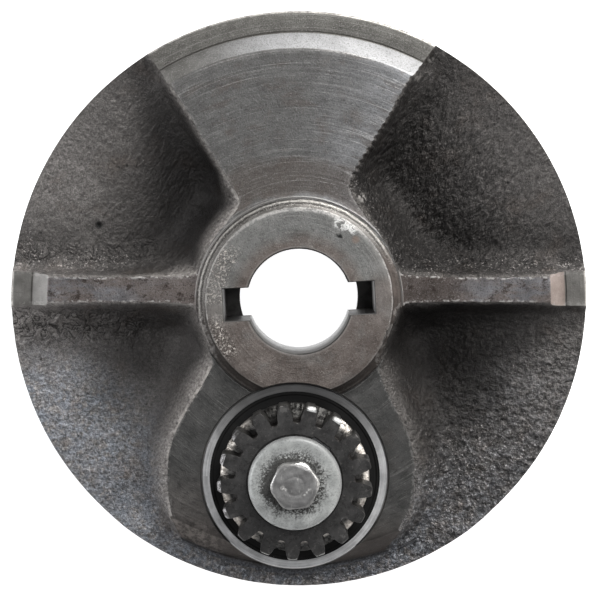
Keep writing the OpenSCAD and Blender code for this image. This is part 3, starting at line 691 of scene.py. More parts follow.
def mat_gear():
    """Hardened pinion: dark oily front and darker flanks; the run-outs are painted near black as shade in the gaps,
    with cream highlights painted on their lit sides and painted highlights on tips and edges.
    """
    g = G("gear_steel")
    r, a, x, y, z = polar(g, PX, PY)
    run, edge = g.attr("run"), g.attr("edge")
    mott = g.noise(5, 5, 0.62)
    fine = g.noise(0.8, 5, 0.7)
    m = g.ramp(mott, 0.3, 0.7, smooth=False)
    face = g.mix(m, (0.038, 0.037, 0.037), (0.088, 0.086, 0.085))
    face = g.mix(g.ramp(g.noise(1.3, 4, 0.7), 0.5, 0.66, 0.0, 0.6), face, (0.024, 0.023, 0.023))
    face = g.mix(g.ramp(g.noise(0.9, 4, 0.75), 0.58, 0.7, 0.0, 0.45), face, (0.24, 0.225, 0.21))
    side = g.mix(m, (0.018, 0.017, 0.016), (0.075, 0.073, 0.07))
    front = g.ramp(g.geo("Normal") and g.xyz(g.geo("Normal"))[2], 0.8, 0.95)
    col = g.mix(front, side, face)
    cream = g.mix(g.ramp(g.noise(1.6, 3, 0.6), 0.35, 0.65), (0.45, 0.41, 0.37), (0.85, 0.8, 0.74))
    # painted shadow: the run-outs in the tooth gaps painted near black, mottled
    gap_shadow_mottle = g.ramp(g.noise(1.9, 4, 0.65), 0.45, 0.55)
    col = g.mix(run, col, g.mix(gap_shadow_mottle, (0.008, 0.0075, 0.007), (0.06, 0.058, 0.055)))
    # painted highlight: cream on the run-outs on the lit right, left and lower sides
    col = g.mix(g.mul(g.attr("pale_highlight"), g.ramp(g.noise(2.4, 3, 0.6), 0.36, 0.42, 0.15, 1.0)), col, cream)
    # painted shade: side faces darker from the tooth roots inwards
    col = g.mix(g.mul(g.ramp(r, 24.5, 22.8), g.inv(front)), col, (0.02, 0.018, 0.017))
    # light line along the front edges of the teeth: worn metal and a painted highlight
    col = g.mix(g.mul(edge, g.ramp(g.noise(2.6, 3, 0.6), 0.54, 0.64, 0.0, 0.4)), col, (0.3, 0.29, 0.28))
    xm, ym = g.mul(x, 1000.0), g.mul(y, 1000.0)
    # painted highlights on the broken tips of two upper teeth
    for deg in (76.6, 55.5):
        t = math.radians(deg)
        tip = g.mul(g.blob(xm, ym, 28.0 * math.cos(t), 28.0 * math.sin(t), 2.3), g.ramp(r, 27.3, 27.7))
        col = g.mix(g.mul(tip, g.ramp(z, GEAR_TOP * MM - 0.0024, GEAR_TOP * MM - 0.0012)), col, (0.8, 0.8, 0.79))
    # painted highlight strips on the sloping tips of the left-hand teeth
    strip = g.mul(g.ramp(r, 27.75, 28.1), g.ramp(z, GEAR_TOP * MM - 0.0032, GEAR_TOP * MM - 0.0022))
    strip = g.mul(strip, g.ramp(xm, -20.0, -25.0))
    col = g.mix(g.mul(strip, g.ramp(g.noise(2.2, 3, 0.6), 0.42, 0.56, 0.1, 1.0)), col, (0.5, 0.49, 0.5))
    # painted highlight: a thin bright line round the tips of the lowest teeth
    low = g.mul(g.ramp(r, 28.75, 28.95), g.ramp(ym, -24.0, -27.0))
    col = g.mix(g.mul(low, g.ramp(g.noise(1.4, 3, 0.6), 0.42, 0.54, 0.0, 0.8)), col, (0.3, 0.3, 0.29))
    rough = g.fmix(m, 0.42, 0.56)
    rough = g.fmix(g.attr("pale_highlight"), rough, 0.4)
    g.bump(fine, 0.05, 0.7)
    g.bump(g.mul(g.noise(1.6, 4, 0.6), run), 0.2, 0.8)
    return g.done(col, rough, 0.65, spec=0.4)


def mat_washer():
    g = G("zinc_steel")
    r, a, x, y, z = polar(g, PX, PY)
    xm, ym = g.mul(x, 1000.0), g.mul(y, 1000.0)
    mott = g.noise(4.2, 5, 0.62)
    fine = g.noise(0.85, 5, 0.72)
    col = g.mix(g.ramp(mott, 0.3, 0.7, smooth=False), (0.4, 0.412, 0.405), (0.68, 0.695, 0.68))
    col = g.mix(g.ramp(fine, 0.5, 0.72, 0.0, 0.5), col, (0.3, 0.3, 0.29))
    # stain round the bolt, patchy, wider on the left
    wob = g.mul(g.math("SUBTRACT", g.noise(3.8, 5, 0.7), 0.5), 8.0)
    rr = g.add(g.add(r, wob), g.mul(g.ramp(xm, -2.0, -12.0), -1.3))
    ring = g.ramp(rr, 10.6, 13.4, 1.0, 0.0)
    grain = g.ramp(g.noise(0.9, 3, 0.7), 0.42, 0.54)
    solid = g.mul(g.ramp(rr, 11.6, 9.6), g.ramp(g.add(xm, g.mul(ym, -0.8)), 9.0, -3.0, 0.45, 1.0))
    col = g.mix(g.math("MAXIMUM", g.mul(ring, g.ramp(grain, 0.0, 1.0, 0.15, 0.95)), g.mul(solid, 0.9)), col, (0.03, 0.028, 0.026))
    far = g.mul(g.ramp(rr, 10.0, 16.0, 1.0, 0.0), g.ramp(g.noise(0.8, 3, 0.7), 0.52, 0.6))
    col = g.mix(g.mul(far, 0.9), col, (0.03, 0.028, 0.026))
    col = g.mix(g.ramp(g.noise(0.8, 2, 0.6), 0.7, 0.76, 0.0, 0.7), col, (0.07, 0.065, 0.06))
    col = g.mix(g.mul(g.ramp(r, 16.4, 17.4), 0.35), col, (0.25, 0.25, 0.25))
    g.bump(fine, 0.07, 0.7)
    g.bump(g.mul(ring, g.noise(0.9, 3, 0.7)), 0.25, 0.7)
    # painted shade on the rim at the upper right; the face darker towards the top
    col = g.mix(g.mul(g.ramp(r, 15.2, 17.2), g.ramp(g.add(xm, ym), 2.0, 16.0, 0.0, 0.6)), col, (0.2, 0.2, 0.2))
    col = g.mix(g.mul(g.ramp(g.math("SINE", a), 0.2, 0.9), g.ramp(r, 9.0, 14.0, 0.0, 0.4)), col, (0.16, 0.165, 0.165))
    col = g.mix(g.ramp(g.noise(0.9, 4, 0.75), 0.52, 0.64, 0.0, 0.4), col, (0.12, 0.12, 0.118))
    return g.done(col, g.fmix(g.ramp(mott, 0.3, 0.7), 0.5, 0.62), 0.4, spec=0.5)


def mat_bolt():
    g = G("bolt_steel")
    r, a, x, y, z = polar(g, PX, PY)
    xm, ym = g.mul(x, 1000.0), g.mul(y, 1000.0)
    mott = g.noise(3.2, 5, 0.62)
    fine = g.noise(0.6, 5, 0.7)
    col = g.mix(g.ramp(mott, 0.3, 0.7, smooth=False), (0.27, 0.265, 0.262), (0.42, 0.415, 0.41))
    col = g.mix(g.ramp(fine, 0.55, 0.75, 0.0, 0.5), col, (0.17, 0.165, 0.16))
    scr = g.noise(0.9, 3, 0.6, vec=g.join(g.mul(x, 1.0), g.mul(y, 0.2), z))
    col = g.mix(g.ramp(scr, 0.62, 0.7, 0.0, 0.6), col, (0.7, 0.69, 0.67))
    # painted highlights along the hex edges
    edge = g.mul(g.ramp(g.attr("edge"), 0.35, 0.9), g.ramp(g.noise(1.7, 3, 0.6), 0.38, 0.56, 0.25, 1.0))
    col = g.mix(g.mul(edge, 0.6), col, (0.6, 0.59, 0.57))
    # small painted glints on the head
    for cx, cy, rad in ((5.4, -1.2, 0.9), (-4.6, -0.5, 1.1), (4.5, -2.2, 0.6), (-3.4, -1.2, 0.7), (3.6, -3.2, 0.6)):
        col = g.mix(g.mul(g.blob(xm, ym, cx, cy, rad), g.ramp(g.noise(0.6, 3, 0.7), 0.4, 0.55)), col, (0.95, 0.93, 0.9))
    g.bump(fine, 0.06, 0.7)
    g.bump(g.noise(1.8, 3, 0.6), 0.12, 0.7)
    return g.done(col, g.fmix(g.ramp(mott, 0.3, 0.7), 0.32, 0.46), 0.85, spec=0.5)


CAST, TURNED, BORED, BACK = mat_cast(), mat_turned(), mat_bore(), mat_back()


# ------------------------------------------------------------- cast outline
def chaikin(pts, n=2):
    P = np.array(pts, float)
    for _ in range(n):
        Q = np.roll(P, -1, 0)
        a, b = 0.75 * P + 0.25 * Q, 0.25 * P + 0.75 * Q
        P = np.stack([a, b], 1).reshape(-1, 2)
    return P


RIB_T, RIB_B = 4.3 + 4.7, 4.3 - 4.7
POCKETS = {
    "ul": [(-98, 160), (-66.4, 110), (-57, 94.7), (-48.9, 83.3), (-37, 62.5), (-28.1, 47.9), (-23.4, 40.4),
           (-22.6, 37.6), (-23.3, 35), (-27.6, 30.4), (-33.6, 21.9), (-36.6, 14.2), (-38.2, 10.9),
           (-42, RIB_T + 0.2), (-94, RIB_T), (-103, RIB_T + 1.6), (-170, RIB_T + 1.6), (-170, 160)],
    "ur": [(91, 160), (59.4, 110), (51.3, 97.2), (46.2, 90.6), (41.6, 84.1), (35.8, 73.7), (30.1, 64.8),
           (23.9, 54.4), (19.6, 47), (19, 43.6), (20.4, 39), (26.6, 30.4), (33.2, 19.8), (35.8, 12.8),
           (39.6, RIB_T + 0.2), (94, RIB_T), (103, RIB_T + 1.6), (170, RIB_T + 1.6), (170, 160)],
    "ll": [(-170, RIB_B - 1), (-103, RIB_B - 1), (-94, RIB_B), (-42, RIB_B), (-38.2, -3), (-36.8, -7.8),
           (-34.6, -13.8), (-32.2, -19.2), (-32.4, -23.4), (-37, -32.3), (-44.3, -44.2), (-49.4, -54.7),
           (-50.6, -62), (-50.5, -72), (-49.4, -80.6), (-46.6, -88.9), (-40.9, -95.1), (-34, -98.8),
           (-26.6, -101.7), (-14, -104.8), (0, -106.2), (0, -170), (-170, -170)],
    "lr": [(170, RIB_B - 1), (103, RIB_B - 1), (94, RIB_B), (40.6, RIB_B), (36.8, -2.6), (35.2, -7.6),
           (32.4, -14.4), (29.8, -20.2), (30.2, -25.4), (33.8, -35.6), (39.3, -45.8), (42.6, -52.4), (44, -60),
           (44.2, -68), (43.6, -75.5), (41.4, -82.6), (35.8, -92), (29.7, -97.8), (16, -103.2),
           (0, -106.2), (0, -170), (170, -170)],
}


def signed(P, poly):
    """Distance of points P (n, 2) to a polygon, positive inside."""
    A, B = poly, np.roll(poly, -1, 0)
    best = np.full(len(P), 1e9)
    inside = np.zeros(len(P), bool)
    for a, b in zip(A, B):
        ab = b - a
        L = ab @ ab
        if L < 1e-12:
            continue
        t = np.clip(((P - a) @ ab) / L, 0, 1)
        d = P - a - t[:, None] * ab
        best = np.minimum(best, (d * d).sum(1))
        c = (a[1] > P[:, 1]) != (b[1] > P[:, 1])
        with np.errstate(divide="ignore", invalid="ignore"):
            xi = (b[0] - a[0]) * (P[:, 1] - a[1]) / (b[1] - a[1]) + a[0]
        inside ^= c & (P[:, 0] < xi)
    return np.where(inside, 1, -1) * np.sqrt(best)


def pocket_depth(P):
    """Distance in mm into the nearest pocket, negative on the turned faces, with the ragged edge that the casting has."""
    x, y = P[:, 0], P[:, 1]
    out = np.empty(len(P))
    for name, pts in POCKETS.items():
        sel = ((y > 4.3) if name[0] == "u" else (y <= 4.3)) & ((x < 0) if name[1] == "l" else (x >= 0))
        if not sel.any():
            continue
        d = signed(P[sel], chaikin(pts, 2))
        if name[0] == "l":  # the two lower outlines meet under the boss
            lip = -y[sel] - 106.2
            d = np.where((np.abs(x[sel]) < 12) & (y[sel] < -90), np.maximum(d, np.minimum(lip, 30)), d)
        out[sel] = d
    p3 = np.c_[x, y, 0 * x]
    r = np.hypot(x, y)
    out = out + 0.45 * fbm(p3, 9, 11, 3) + 0.14 * vnoise(p3, 1.8, 15)
    # the tool left a saw edge where it broke out of the sector on the right
    saw = (r / 2.65 + 0.25 * vnoise(p3, 14, 16)) % 1.0
    w = (x > 14) * sstep(y, 38, 46) * sstep(r, 108, 98)
    out = out + w * (0.9 + 1.1 * sstep(r, 84, 68)) * (np.abs(saw - 0.45) - 0.25) * np.exp(-((out / 1.6) ** 2))
    # chipped upper edges of the ribs
    w = sstep(np.abs(x), 40, 46) * sstep(y, 6.5, 8) * sstep(y, 12, 10.5)
    out = out + w * 0.55 * np.maximum(vnoise(p3, 1.5, 17), -0.2) * np.exp(-((out / 1.0) ** 2))
    return out


def top_height(r):
    """Turned height of the front at radius r, near the hub."""
    return np.interp(r, [0, 35.4, 35.8, 36.3, 37.2, 38.4, 39.3, 39.6, BEVEL_IN, BEVEL_OUT], [HUB_Z, HUB_Z, HUB_Z - 0.5, HUB_Z - 1.2, HUB_Z - 1.75, HUB_Z - 2.15, FACE_Z + 0.4, FACE_Z, FACE_Z, RIM_Z])


def edge_drop(d, R, s0, s1):
    """Height lost at distance d inside a pocket: slope s0 at the edge, s1 beyond R."""
    t = np.clip(d / R, 0, 1)
    a = R * (s0 * t + (s1 - s0) * (t**3 - t**4 / 2))
    return np.where(d < 0, s0 * d, a + s1 * np.maximum(d - R, 0))


def skin_zones(x, y, d):
    """Where the cast skin is bumpy, crinkled or streaked, 0 to 1."""
    r = np.hypot(x, y)
    p3 = np.c_[x, y, 0 * x]
    n = 0.5 + 0.5 * fbm(p3, 16, 51, 3)
    lr = (x > 0) * sstep(y, -6, -60) * sstep(r, 58, 92) + 0.45 * (x > 0) * sstep(y, -4, -16) * sstep(r, 50, 66)
    lip = sstep(r, 98, 106) * sstep(y, -60, -80) * (x > -30)
    bumpy = np.clip(lr + 0.8 * lip + 0.25 * (x > 0) * (y < 0), 0, 1)
    c1 = (x < 0) * np.exp(-(((y + 9.5) / 7.5) ** 2)) * sstep(x, -52, -66)
    c2 = (x < 0) * np.exp(-(((y - 17.5) / 5.0) ** 2)) * sstep(x, -46, -60) * 0.9
    c3 = (x > 0) * np.exp(-(((y - 14.0) / 4.0) ** 2)) * sstep(x, 44, 52) * 0.75
    crink = np.clip((c1 + c2 + c3) * (0.5 + 0.9 * n), 0, 1)
    strok = np.clip((x > 0) * (y > 4) * (0.35 + 0.65 * sstep(r, 104, 78)) + 0.25 * (x < 0) * (y > 4), 0, 1)
    return bumpy, crink, strok


def soften(H, d, radii, dang, width):
    """Averages the heights over a width in mm, away from the pocket edges."""
    N = H.shape[1]
    out = H.copy()
    for _ in range(2):
        pad = np.pad(out, ((9, 9), (0, 0)), mode="edge")
        k = max(1, int(round(width / 0.66 / 2)))
        out = sum(pad[9 + j : 9 + j + len(H)] for j in range(-k, k + 1)) / (2 * k + 1)
        for i, r in enumerate(radii):
            k = max(1, int(round(width / (r * dang) / 2)))
            row = np.concatenate([out[i, -k:], out[i], out[i, :k]])
            c = np.concatenate([[0.0], np.cumsum(row)])
            out[i] = (c[2 * k + 1 :] - c[: -2 * k - 1]) / (2 * k + 1)
    w = sstep(d, 1.2, 8.0)
    return H * (1 - w) + out * w


def blank_height(P, shape, radii, dang):
    """Top of the rough casting in mm at points P, which are a polar grid."""
    x, y = P[:, 0], P[:, 1]
    r = np.hypot(x, y)
    p3 = np.c_[x, y, 0 * x]
    d = pocket_depth(P)
    # dished floor
    rr = np.array([28, 44, 58, 76, 94, 109.5, 117])
    zz = np.array([18.0, 18.6, 21.5, 26.8, 30.6, 32.0, 31.6])
    F = np.interp(r, rr, zz)
    F = F + 1.0 * fbm(p3, 46, 21, 2)
    F = F + 3.3 * sstep(r, 101, 106) * sstep(y, -80, -96)
    F = F + 2.0 * np.exp(-((np.hypot(x - PX, y - PY) - 58) / 12.0) ** 2) * (y < -20)
    # rounded lip, wall with draft and a big fillet at the foot
    ul, ur = (x < 0) & (y > 4.3), (x >= 0) & (y > 4.3)
    ll, lr = (x < 0) & (y <= 4.3), (x >= 0) & (y <= 4.3)
    R = np.full_like(d, 1.3)
    s1 = np.full_like(d, 3.4)
    inner = sstep(r, 62, 46)
    side = sstep(-y, 12, 26) * sstep(r, 100, 90)
    R = np.where(ul, 1.4 + 1.4 * sstep(y, 13, 24) + 2.2 * inner * sstep(y, 10, 15), R)
    R = np.where(ur, 1.3 + 4.6 * inner * sstep(y, 9.5, 16), R)
    R = np.where(ll, 1.6 + 2.4 * inner * sstep(-y, 0, 6) + 5.0 * side, R)
    R = np.where(lr, 1.8 + 3.0 * inner * sstep(-y, 0, 6) + 5.4 * side, R)
    rimw = sstep(r, 97, 103)
    R = R * (1 - 0.7 * rimw)
    s1 = np.where(lr, 3.4 - 1.6 * sstep(-y, 8, 30), s1)
    s1 = np.where(ul, s1 - 1.5 * inner, s1)
    s1 = np.where(ur, s1 - 1.7 * inner, s1)
    s1 = np.where(ll, s1 - 1.2 * side - 0.8 * inner, s1)
    top = top_height(r - 0.9)
    wall = top - edge_drop(d, R, 0.4, s1)
    H = smax(wall, F, 11.0)
    H = np.where(d < 0.4, np.maximum(H, wall), H)
    H = np.minimum(H, top + 1.6)
    H = soften(H.reshape(shape), d.reshape(shape), radii, dang, 8.0).ravel()
    H = np.where((r > 104) & (y < -70) & (d > 0.1), np.minimum(H, RIM_Z - 0.35 - 0.25 * sstep(d, 0.3, 3.0)), H)
    inp = sstep(d, 0.2, 4.0)
    bumpy, crink, strok = skin_zones(x, y, d)
    H = H + inp * (0.24 * fbm(p3, 5.5, 31, 3, 0.6) + 0.10 * vnoise(p3, 1.7, 37))
    H = H + inp * bumpy * (0.42 * fbm(p3, 3.2, 41, 2) + 0.26 * vnoise(p3, 1.8, 47))
    H = H + inp * crink * 2.4 * (0.3 - np.abs(fbm(p3, 5.2, 43, 3)))
    # sand grains drawn out in one direction on the upper right
    ps = np.c_[0.42 * (0.5 * x + 0.866 * y), 0.866 * x - 0.5 * y, 0 * x]
    H = H + sstep(d, 0.2, 2.5) * strok * (0.34 * fbm(ps, 3.0, 48, 2) + 0.2 * vnoise(ps, 1.6, 49))
    rng = np.random.default_rng(5)
    for _ in range(46):
        ang, rad = rng.uniform(0, 2 * math.pi), rng.uniform(46, 108)
        s, dep = rng.uniform(0.7, 1.5), rng.uniform(0.12, 0.45)
        H = H - inp * dep * np.exp(-(((x - rad * math.cos(ang)) ** 2 + (y - rad * math.sin(ang)) ** 2) / s**2))
    H = H - 0.9 * np.exp(-(((x + 77.7) ** 2 + (y - 28.8) ** 2) / 1.1**2))
    return H


# How light or dark the cast skin is painted at places on it, as (x, y, value): painted shade darkens it towards the hub
# and the walls, and painted light makes a pocket lighter the more its floor tilts toward the lamps, the lower left most
TONE = [
    (-90, 45, 0.40), (-70, 60, 0.30), (-52, 78, 0.24), (-48, 60, 0.09), (-33, 42, 0.035), (-45, 36, 0.06), (-62, 40, 0.19), (-85, 20, 0.22), (-60, 18, 0.12), (-45, 20, 0.08),
    (90, 45, 0.22), (72, 62, 0.19), (60, 80, 0.15), (42, 66, 0.095), (32, 46, 0.07), (46, 34, 0.075), (62, 44, 0.12), (85, 22, 0.12), (60, 18, 0.055),
    (-95, -30, 0.60), (-75, -60, 0.50), (-55, -85, 0.50), (-70, -32, 0.15), (-55, -48, 0.15), (-48, -18, 0.13), (-45, -7, 0.26), (-80, -10, 0.26), (-58, -65, 0.24), (-100, -12, 0.44),
    (95, -30, 0.30), (80, -60, 0.24), (60, -85, 0.24), (66, -38, 0.05), (50, -26, 0.05), (52, -55, 0.085), (80, -10, 0.08), (100, -12, 0.20), (48, -72, 0.20),
    (0, -109, 0.40), (-30, -104, 0.44), (30, -104, 0.36),
]


def skin_tone(x, y):
    num, den = np.zeros(len(x)), np.full(len(x), 1e-6)
    for cx, cy, v in TONE:
        w = np.exp(-((x - cx) ** 2 + (y - cy) ** 2) / 13.5**2)
        num, den = num + w * v, den + w
    t = np.where(den > 1e-5, num / den, 0.3)
    # darker just above the ribs, and painted light on the left wall of the boss
    for cx, cy, v, rad in ((-72.0, 17.5, 0.8, 11.0), (-62.0, 17.5, 0.85, 9.0), (64.0, 19.5, 0.74, 13.0), (-46.3, -38.7, 1.32, 6.0)):
        t = t * (1 + (v - 1) * np.exp(-((x - cx) ** 2 + (y - cy) ** 2) / rad**2))
    return t


def set_attr(ob, name, values):
    at = ob.data.attributes.new(name, "FLOAT", "POINT")
    at.data.foreach_set("value", np.asarray(values, np.float32))


def get_mm(ob):
    co = np.zeros(len(ob.data.vertices) * 3, np.float32)
    ob.data.vertices.foreach_get("co", co)
    return co.reshape(-1, 3).astype(float) / MM


def finish_mesh(ob, angle=35):
    me = ob.data
    me.polygons.foreach_set("use_smooth", [True] * len(me.polygons))
    me.set_sharp_from_angle(angle=math.radians(angle))


def build_casting():
    N = 1000
    radii = [30.0, 32.0, 34.0] + list(np.arange(34.8, 42.0, 0.45)) + list(np.arange(42.2, 111.4, 0.66)) + [111.6, 112.5]
    ang = np.arange(N) * 2 * math.pi / N
    R, A = np.meshgrid(radii, ang, indexing="ij")
    X, Y = (R * np.cos(A)).ravel(), (R * np.sin(A)).ravel()
    H = blank_height(np.c_[X, Y], R.shape, radii, 2 * math.pi / N)
    verts = np.c_[X, Y, H]
    m = len(radii)
    i, k = np.meshgrid(np.arange(m - 1), np.arange(N), indexing="ij")
    k2 = (k + 1) % N
    quads = np.stack([i * N + k, (i + 1) * N + k, (i + 1) * N + k2, i * N + k2], -1).reshape(-1, 4)
    nv = len(verts)
    low = np.c_[radii[-1] * np.cos(ang), radii[-1] * np.sin(ang), np.full(N, -3.0)]
    verts = np.vstack([verts, low, [[0, 0, HUB_Z + 3], [0, 0, -3.0]]])
    faces = [tuple(q) for q in quads]
    last = (m - 1) * N
    for a in range(N):
        b = (a + 1) % N
        faces.append((last + a, nv + a, nv + b, last + b))
        faces.append((a, b, nv + N))
        faces.append((nv + b, nv + a, nv + N + 1))
    ob = new_object("flywheel_iron", verts, faces)
    set_slot(ob, CAST)
    # envelope that the lathe leaves; the side and back take the finish BACK
    prof = [(0, 0), (DISC_R - 22, 0), (DISC_R - 1.2, 0), (DISC_R - 0.5, 0.25), (DISC_R - 0.12, 0.8), (DISC_R, 1.6), (DISC_R, 10), (DISC_R, 20), (DISC_R, 28), (DISC_R, RIM_Z - 1.3),
            (DISC_R - 0.2, RIM_Z - 0.6), (DISC_R - 0.7, RIM_Z - 0.15), (DISC_R - 1.3, RIM_Z), (106.4, RIM_Z),
            (BEVEL_OUT + 0.6, RIM_Z), (BEVEL_OUT + 0.45, RIM_Z - 0.12), (BEVEL_OUT + 0.2, RIM_Z - 0.12), (BEVEL_OUT, RIM_Z + 0.08), (99.7, RIM_Z + 2.95),
            (BEVEL_IN + 0.3, FACE_Z - 0.28), (BEVEL_IN - 0.1, FACE_Z)]
    prof += [(q, FACE_Z) for q in np.arange(94.5, 41.0, -2.6)]
    prof += [(40.0, FACE_Z), (39.82, FACE_Z + 0.1), (39.6, FACE_Z + 0.05), (39.5, FACE_Z - 0.3), (39.2, FACE_Z - 0.3),
             (39.0, FACE_Z + 0.55), (38.2, FACE_Z + 0.95), (37.2, FACE_Z + 1.25), (36.6, FACE_Z + 1.6), (36.1, FACE_Z + 2.1),
             (HUB_R + 0.05, HUB_Z - 0.5), (HUB_R - 0.1, HUB_Z - 0.15), (HUB_R - 0.5, HUB_Z), (33, HUB_Z), (30, HUB_Z), (27, HUB_Z), (24, HUB_Z), (20.5, HUB_Z), (0, HUB_Z)]
    env = revolve("envelope", prof, 720)
    env.data.materials.append(TURNED)
    env.data.materials.append(BACK)
    z = np.array([v.co.z for v in env.data.vertices]) / MM
    rr = np.array([math.hypot(v.co.x, v.co.y) for v in env.data.vertices]) / MM
    side = (z < RIM_Z - 0.1) & ((rr > DISC_R - 2) | (z < 1))
    idx = [1 if all(side[v] for v in p.vertices) else 0 for p in env.data.polygons]
    env.data.polygons.foreach_set("material_index", idx)
    boolean(ob, env, "INTERSECT")

    def cut(name, prof, n=192, cx=0.0, cy=0.0, mat=BORED):
        c = revolve(name, prof, n, cx, cy)
        set_slot(c, mat)
        boolean(ob, c)

    cut("bore", [(0, -2), (RELIEF_R + 0.6, -2), (RELIEF_R + 0.6, 0), (RELIEF_R, 0.6), (RELIEF_R, RELIEF_Z - 0.4), (RELIEF_R - 0.4, RELIEF_Z), (BORE_R + 0.3, RELIEF_Z), (BORE_R, RELIEF_Z + 0.3),
                 (BORE_R, HUB_Z - 0.7), (BORE_R + 0.25, HUB_Z - 0.3), (BORE_R + 0.75, HUB_Z + 0.2), (BORE_R + 0.75, HUB_Z + 3), (0, HUB_Z + 3)], 256)
    cut("seat", [(0, REAR_Z1 - 1), (25, REAR_Z1 - 1), (25, RACE_Z0), (SEAT_R, RACE_Z0), (SEAT_R, FACE_Z - 0.55),
                 (SEAT_R + 0.15, FACE_Z - 0.3), (SEAT_R + 0.5, FACE_Z + 0.1), (SEAT_R + 0.5, FACE_Z + 12), (0, FACE_Z + 12)], 256, PX, PY)
    cut("rear_seat", [(0, -2), (REAR_R + 1.2, -2), (REAR_R + 1.2, 0), (REAR_R, 1.1), (REAR_R, REAR_Z0 - 2.15), (REAR_R + 1.5, REAR_Z0 - 2.15),
                      (REAR_R + 1.5, REAR_Z0), (REAR_R, REAR_Z0), (REAR_R, REAR_Z1), (0, REAR_Z1)], 192, PX, PY)
    for s in (0, math.pi):
        w, L, z0 = SLOT_W / 2, SLOT_REACH, HUB_Z - SLOT_DEPTH
        rows = [(w, L, z0), (w, L, HUB_Z - 0.3), (w + 0.3, L + 0.3, HUB_Z), (w + 0.3, L + 0.3, HUB_Z + 3)]
        vs = []
        for ww, LL, z in rows:
            vs += [(5, -ww, z), (LL, -ww, z), (LL, ww, z), (5, ww, z)]
        fs = [(3, 2, 1, 0), (12, 13, 14, 15)]
        for q in range(3):
            for e in range(4):
                a, b = q * 4 + e, q * 4 + (e + 1) % 4
                fs.append((a, b, b + 4, a + 4))
        t = SLOT_A + s
        vs = [(x * math.cos(t) - y * math.sin(t), x * math.sin(t) + y * math.cos(t), z) for x, y, z in vs]
        c = new_object("slot_cut", vs, fs, smooth=False)
        set_slot(c, BORED)
        boolean(ob, c)
    rec = revolve("recess", [(40, -2), (90.6, -2), (90.6, 0), (89.6, 0.4), (88, 5.2), (86.5, 6.0), (43.5, 6.0), (42, 5.2), (40.6, 0.4), (40, 0)], 360, closed_axis=False)
    set_slot(rec, BACK)
    keep = revolve("keep", [(0, -4), (37.5, -4), (37.5, 0), (36.6, 8), (0, 8)], 256, PX, PY)
    set_slot(keep, BACK)
    boolean(rec, keep)
    boolean(ob, rec)
    finish_mesh(ob)
    P = get_mm(ob)
    x, y = P[:, 0], P[:, 1]
    d = pocket_depth(P[:, :2])
    r = np.hypot(x, y)
    bumpy, crink, strok = skin_zones(x, y, d)
    set_attr(ob, "dd", np.clip(d, -8, 30))
    tone = skin_tone(x, y)
    # painted shade: darker at the foot of the sector wall and of the hub, and near the hub on the upper right; painted
    # light on the wall under the left rib; darker along the pocket edge at the bottom
    foot = np.exp(-(((d - 9.0) / 7.0) ** 2)) * sstep(y, 12, 24)
    tone = tone * (1 - 0.45 * foot)
    tone = tone * (1 - 0.4 * sstep(r, 60, 46) * ((x > 0) & (y > 4)))
    tone = tone + 0.45 * np.exp(-((d / 4.0) ** 2)) * sstep(x, -37, -41) * (y < 0) * (y > -12)
    tone = tone * (1 - 0.45 * np.exp(-((d / 1.6) ** 2)) * sstep(-y, 88, 96))
    set_attr(ob, "tone", np.clip(tone, 0, 1))
    # bluish: a painted sheen where the lower pockets rise toward the lamps near the rim, and a bluish lip at the bottom
    blue_sheen = sstep(y, -8, -40) * sstep(r, 60, 88) * np.where(x < 0, 1.0, 0.3 + 0.45 * sstep(y, -50, -85)) + 0.9 * sstep(y, -92, -104)
    set_attr(ob, "blue_sheen", np.clip(blue_sheen, 0, 1))
    set_attr(ob, "bumpy", bumpy)
    set_attr(ob, "crink", crink)
    set_attr(ob, "stroke", strok)
    # width and strength of the light-coloured lip round the turned faces: rubbed metal and a painted highlight on its
    # rounding
    inner = sstep(r, 60, 47)
    side = sstep(-y, 16, 28) * sstep(y, -94, -84)
    ul, ll = (x < 0) & (y > 4.3), (x < 0) & (y <= 4.3)
    ur, lr = (x >= 0) & (y > 4.3), (x >= 0) & (y <= 4.3)
    lw = 1.0 + ul * (1.2 * sstep(y, 14, 24) + 2.6 * inner) + ur * (0.2 + 1.0 * inner) + ll * (2.8 * inner + 5.4 * side * (1 - 0.4 * inner)) + lr * (1.6 * inner + 4.2 * side)
    lip = 0.3 + ul * (0.35 * sstep(y, 14, 24) + 0.35 * inner) + ll * (0.6 * inner + 0.5 * side) - lr * (0.05 * side)
    set_attr(ob, "lipw", lw)
    set_attr(ob, "lip", np.clip(lip, 0, 1))
    gl = 0.9 * ul * np.exp(-(((y - 14.5) / 4.5) ** 2)) * sstep(x, -50, -75) + 0.8 * ul * np.exp(-(((r - 108) / 3.0) ** 2)) * sstep(y, 40, 14)
    gl = gl + 0.8 * ur * np.exp(-(((y - 13.5) / 3.5) ** 2)) * sstep(x, 42, 52) + 0.35 * ur * inner + 0.4 * ur * np.exp(-((d / 5.0) ** 2))
    gl = gl + lr * 0.95 * sstep(-y, 30, 62) * sstep(r, 66, 88) + 0.6 * sstep(-y, 92, 100) + 0.4 * ll * sstep(r, 88, 104)
    set_attr(ob, "glint", np.clip(gl, 0, 1))
    return ob


iron = build_casting()
iron.name = "flywheel_iron"
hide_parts("flywheel_casting")
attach(iron, "wheel")
print("iron", len(iron.data.vertices), "verts", sum(len(p.vertices) - 2 for p in iron.data.polygons), "tris", [m.name for m in iron.data.materials])


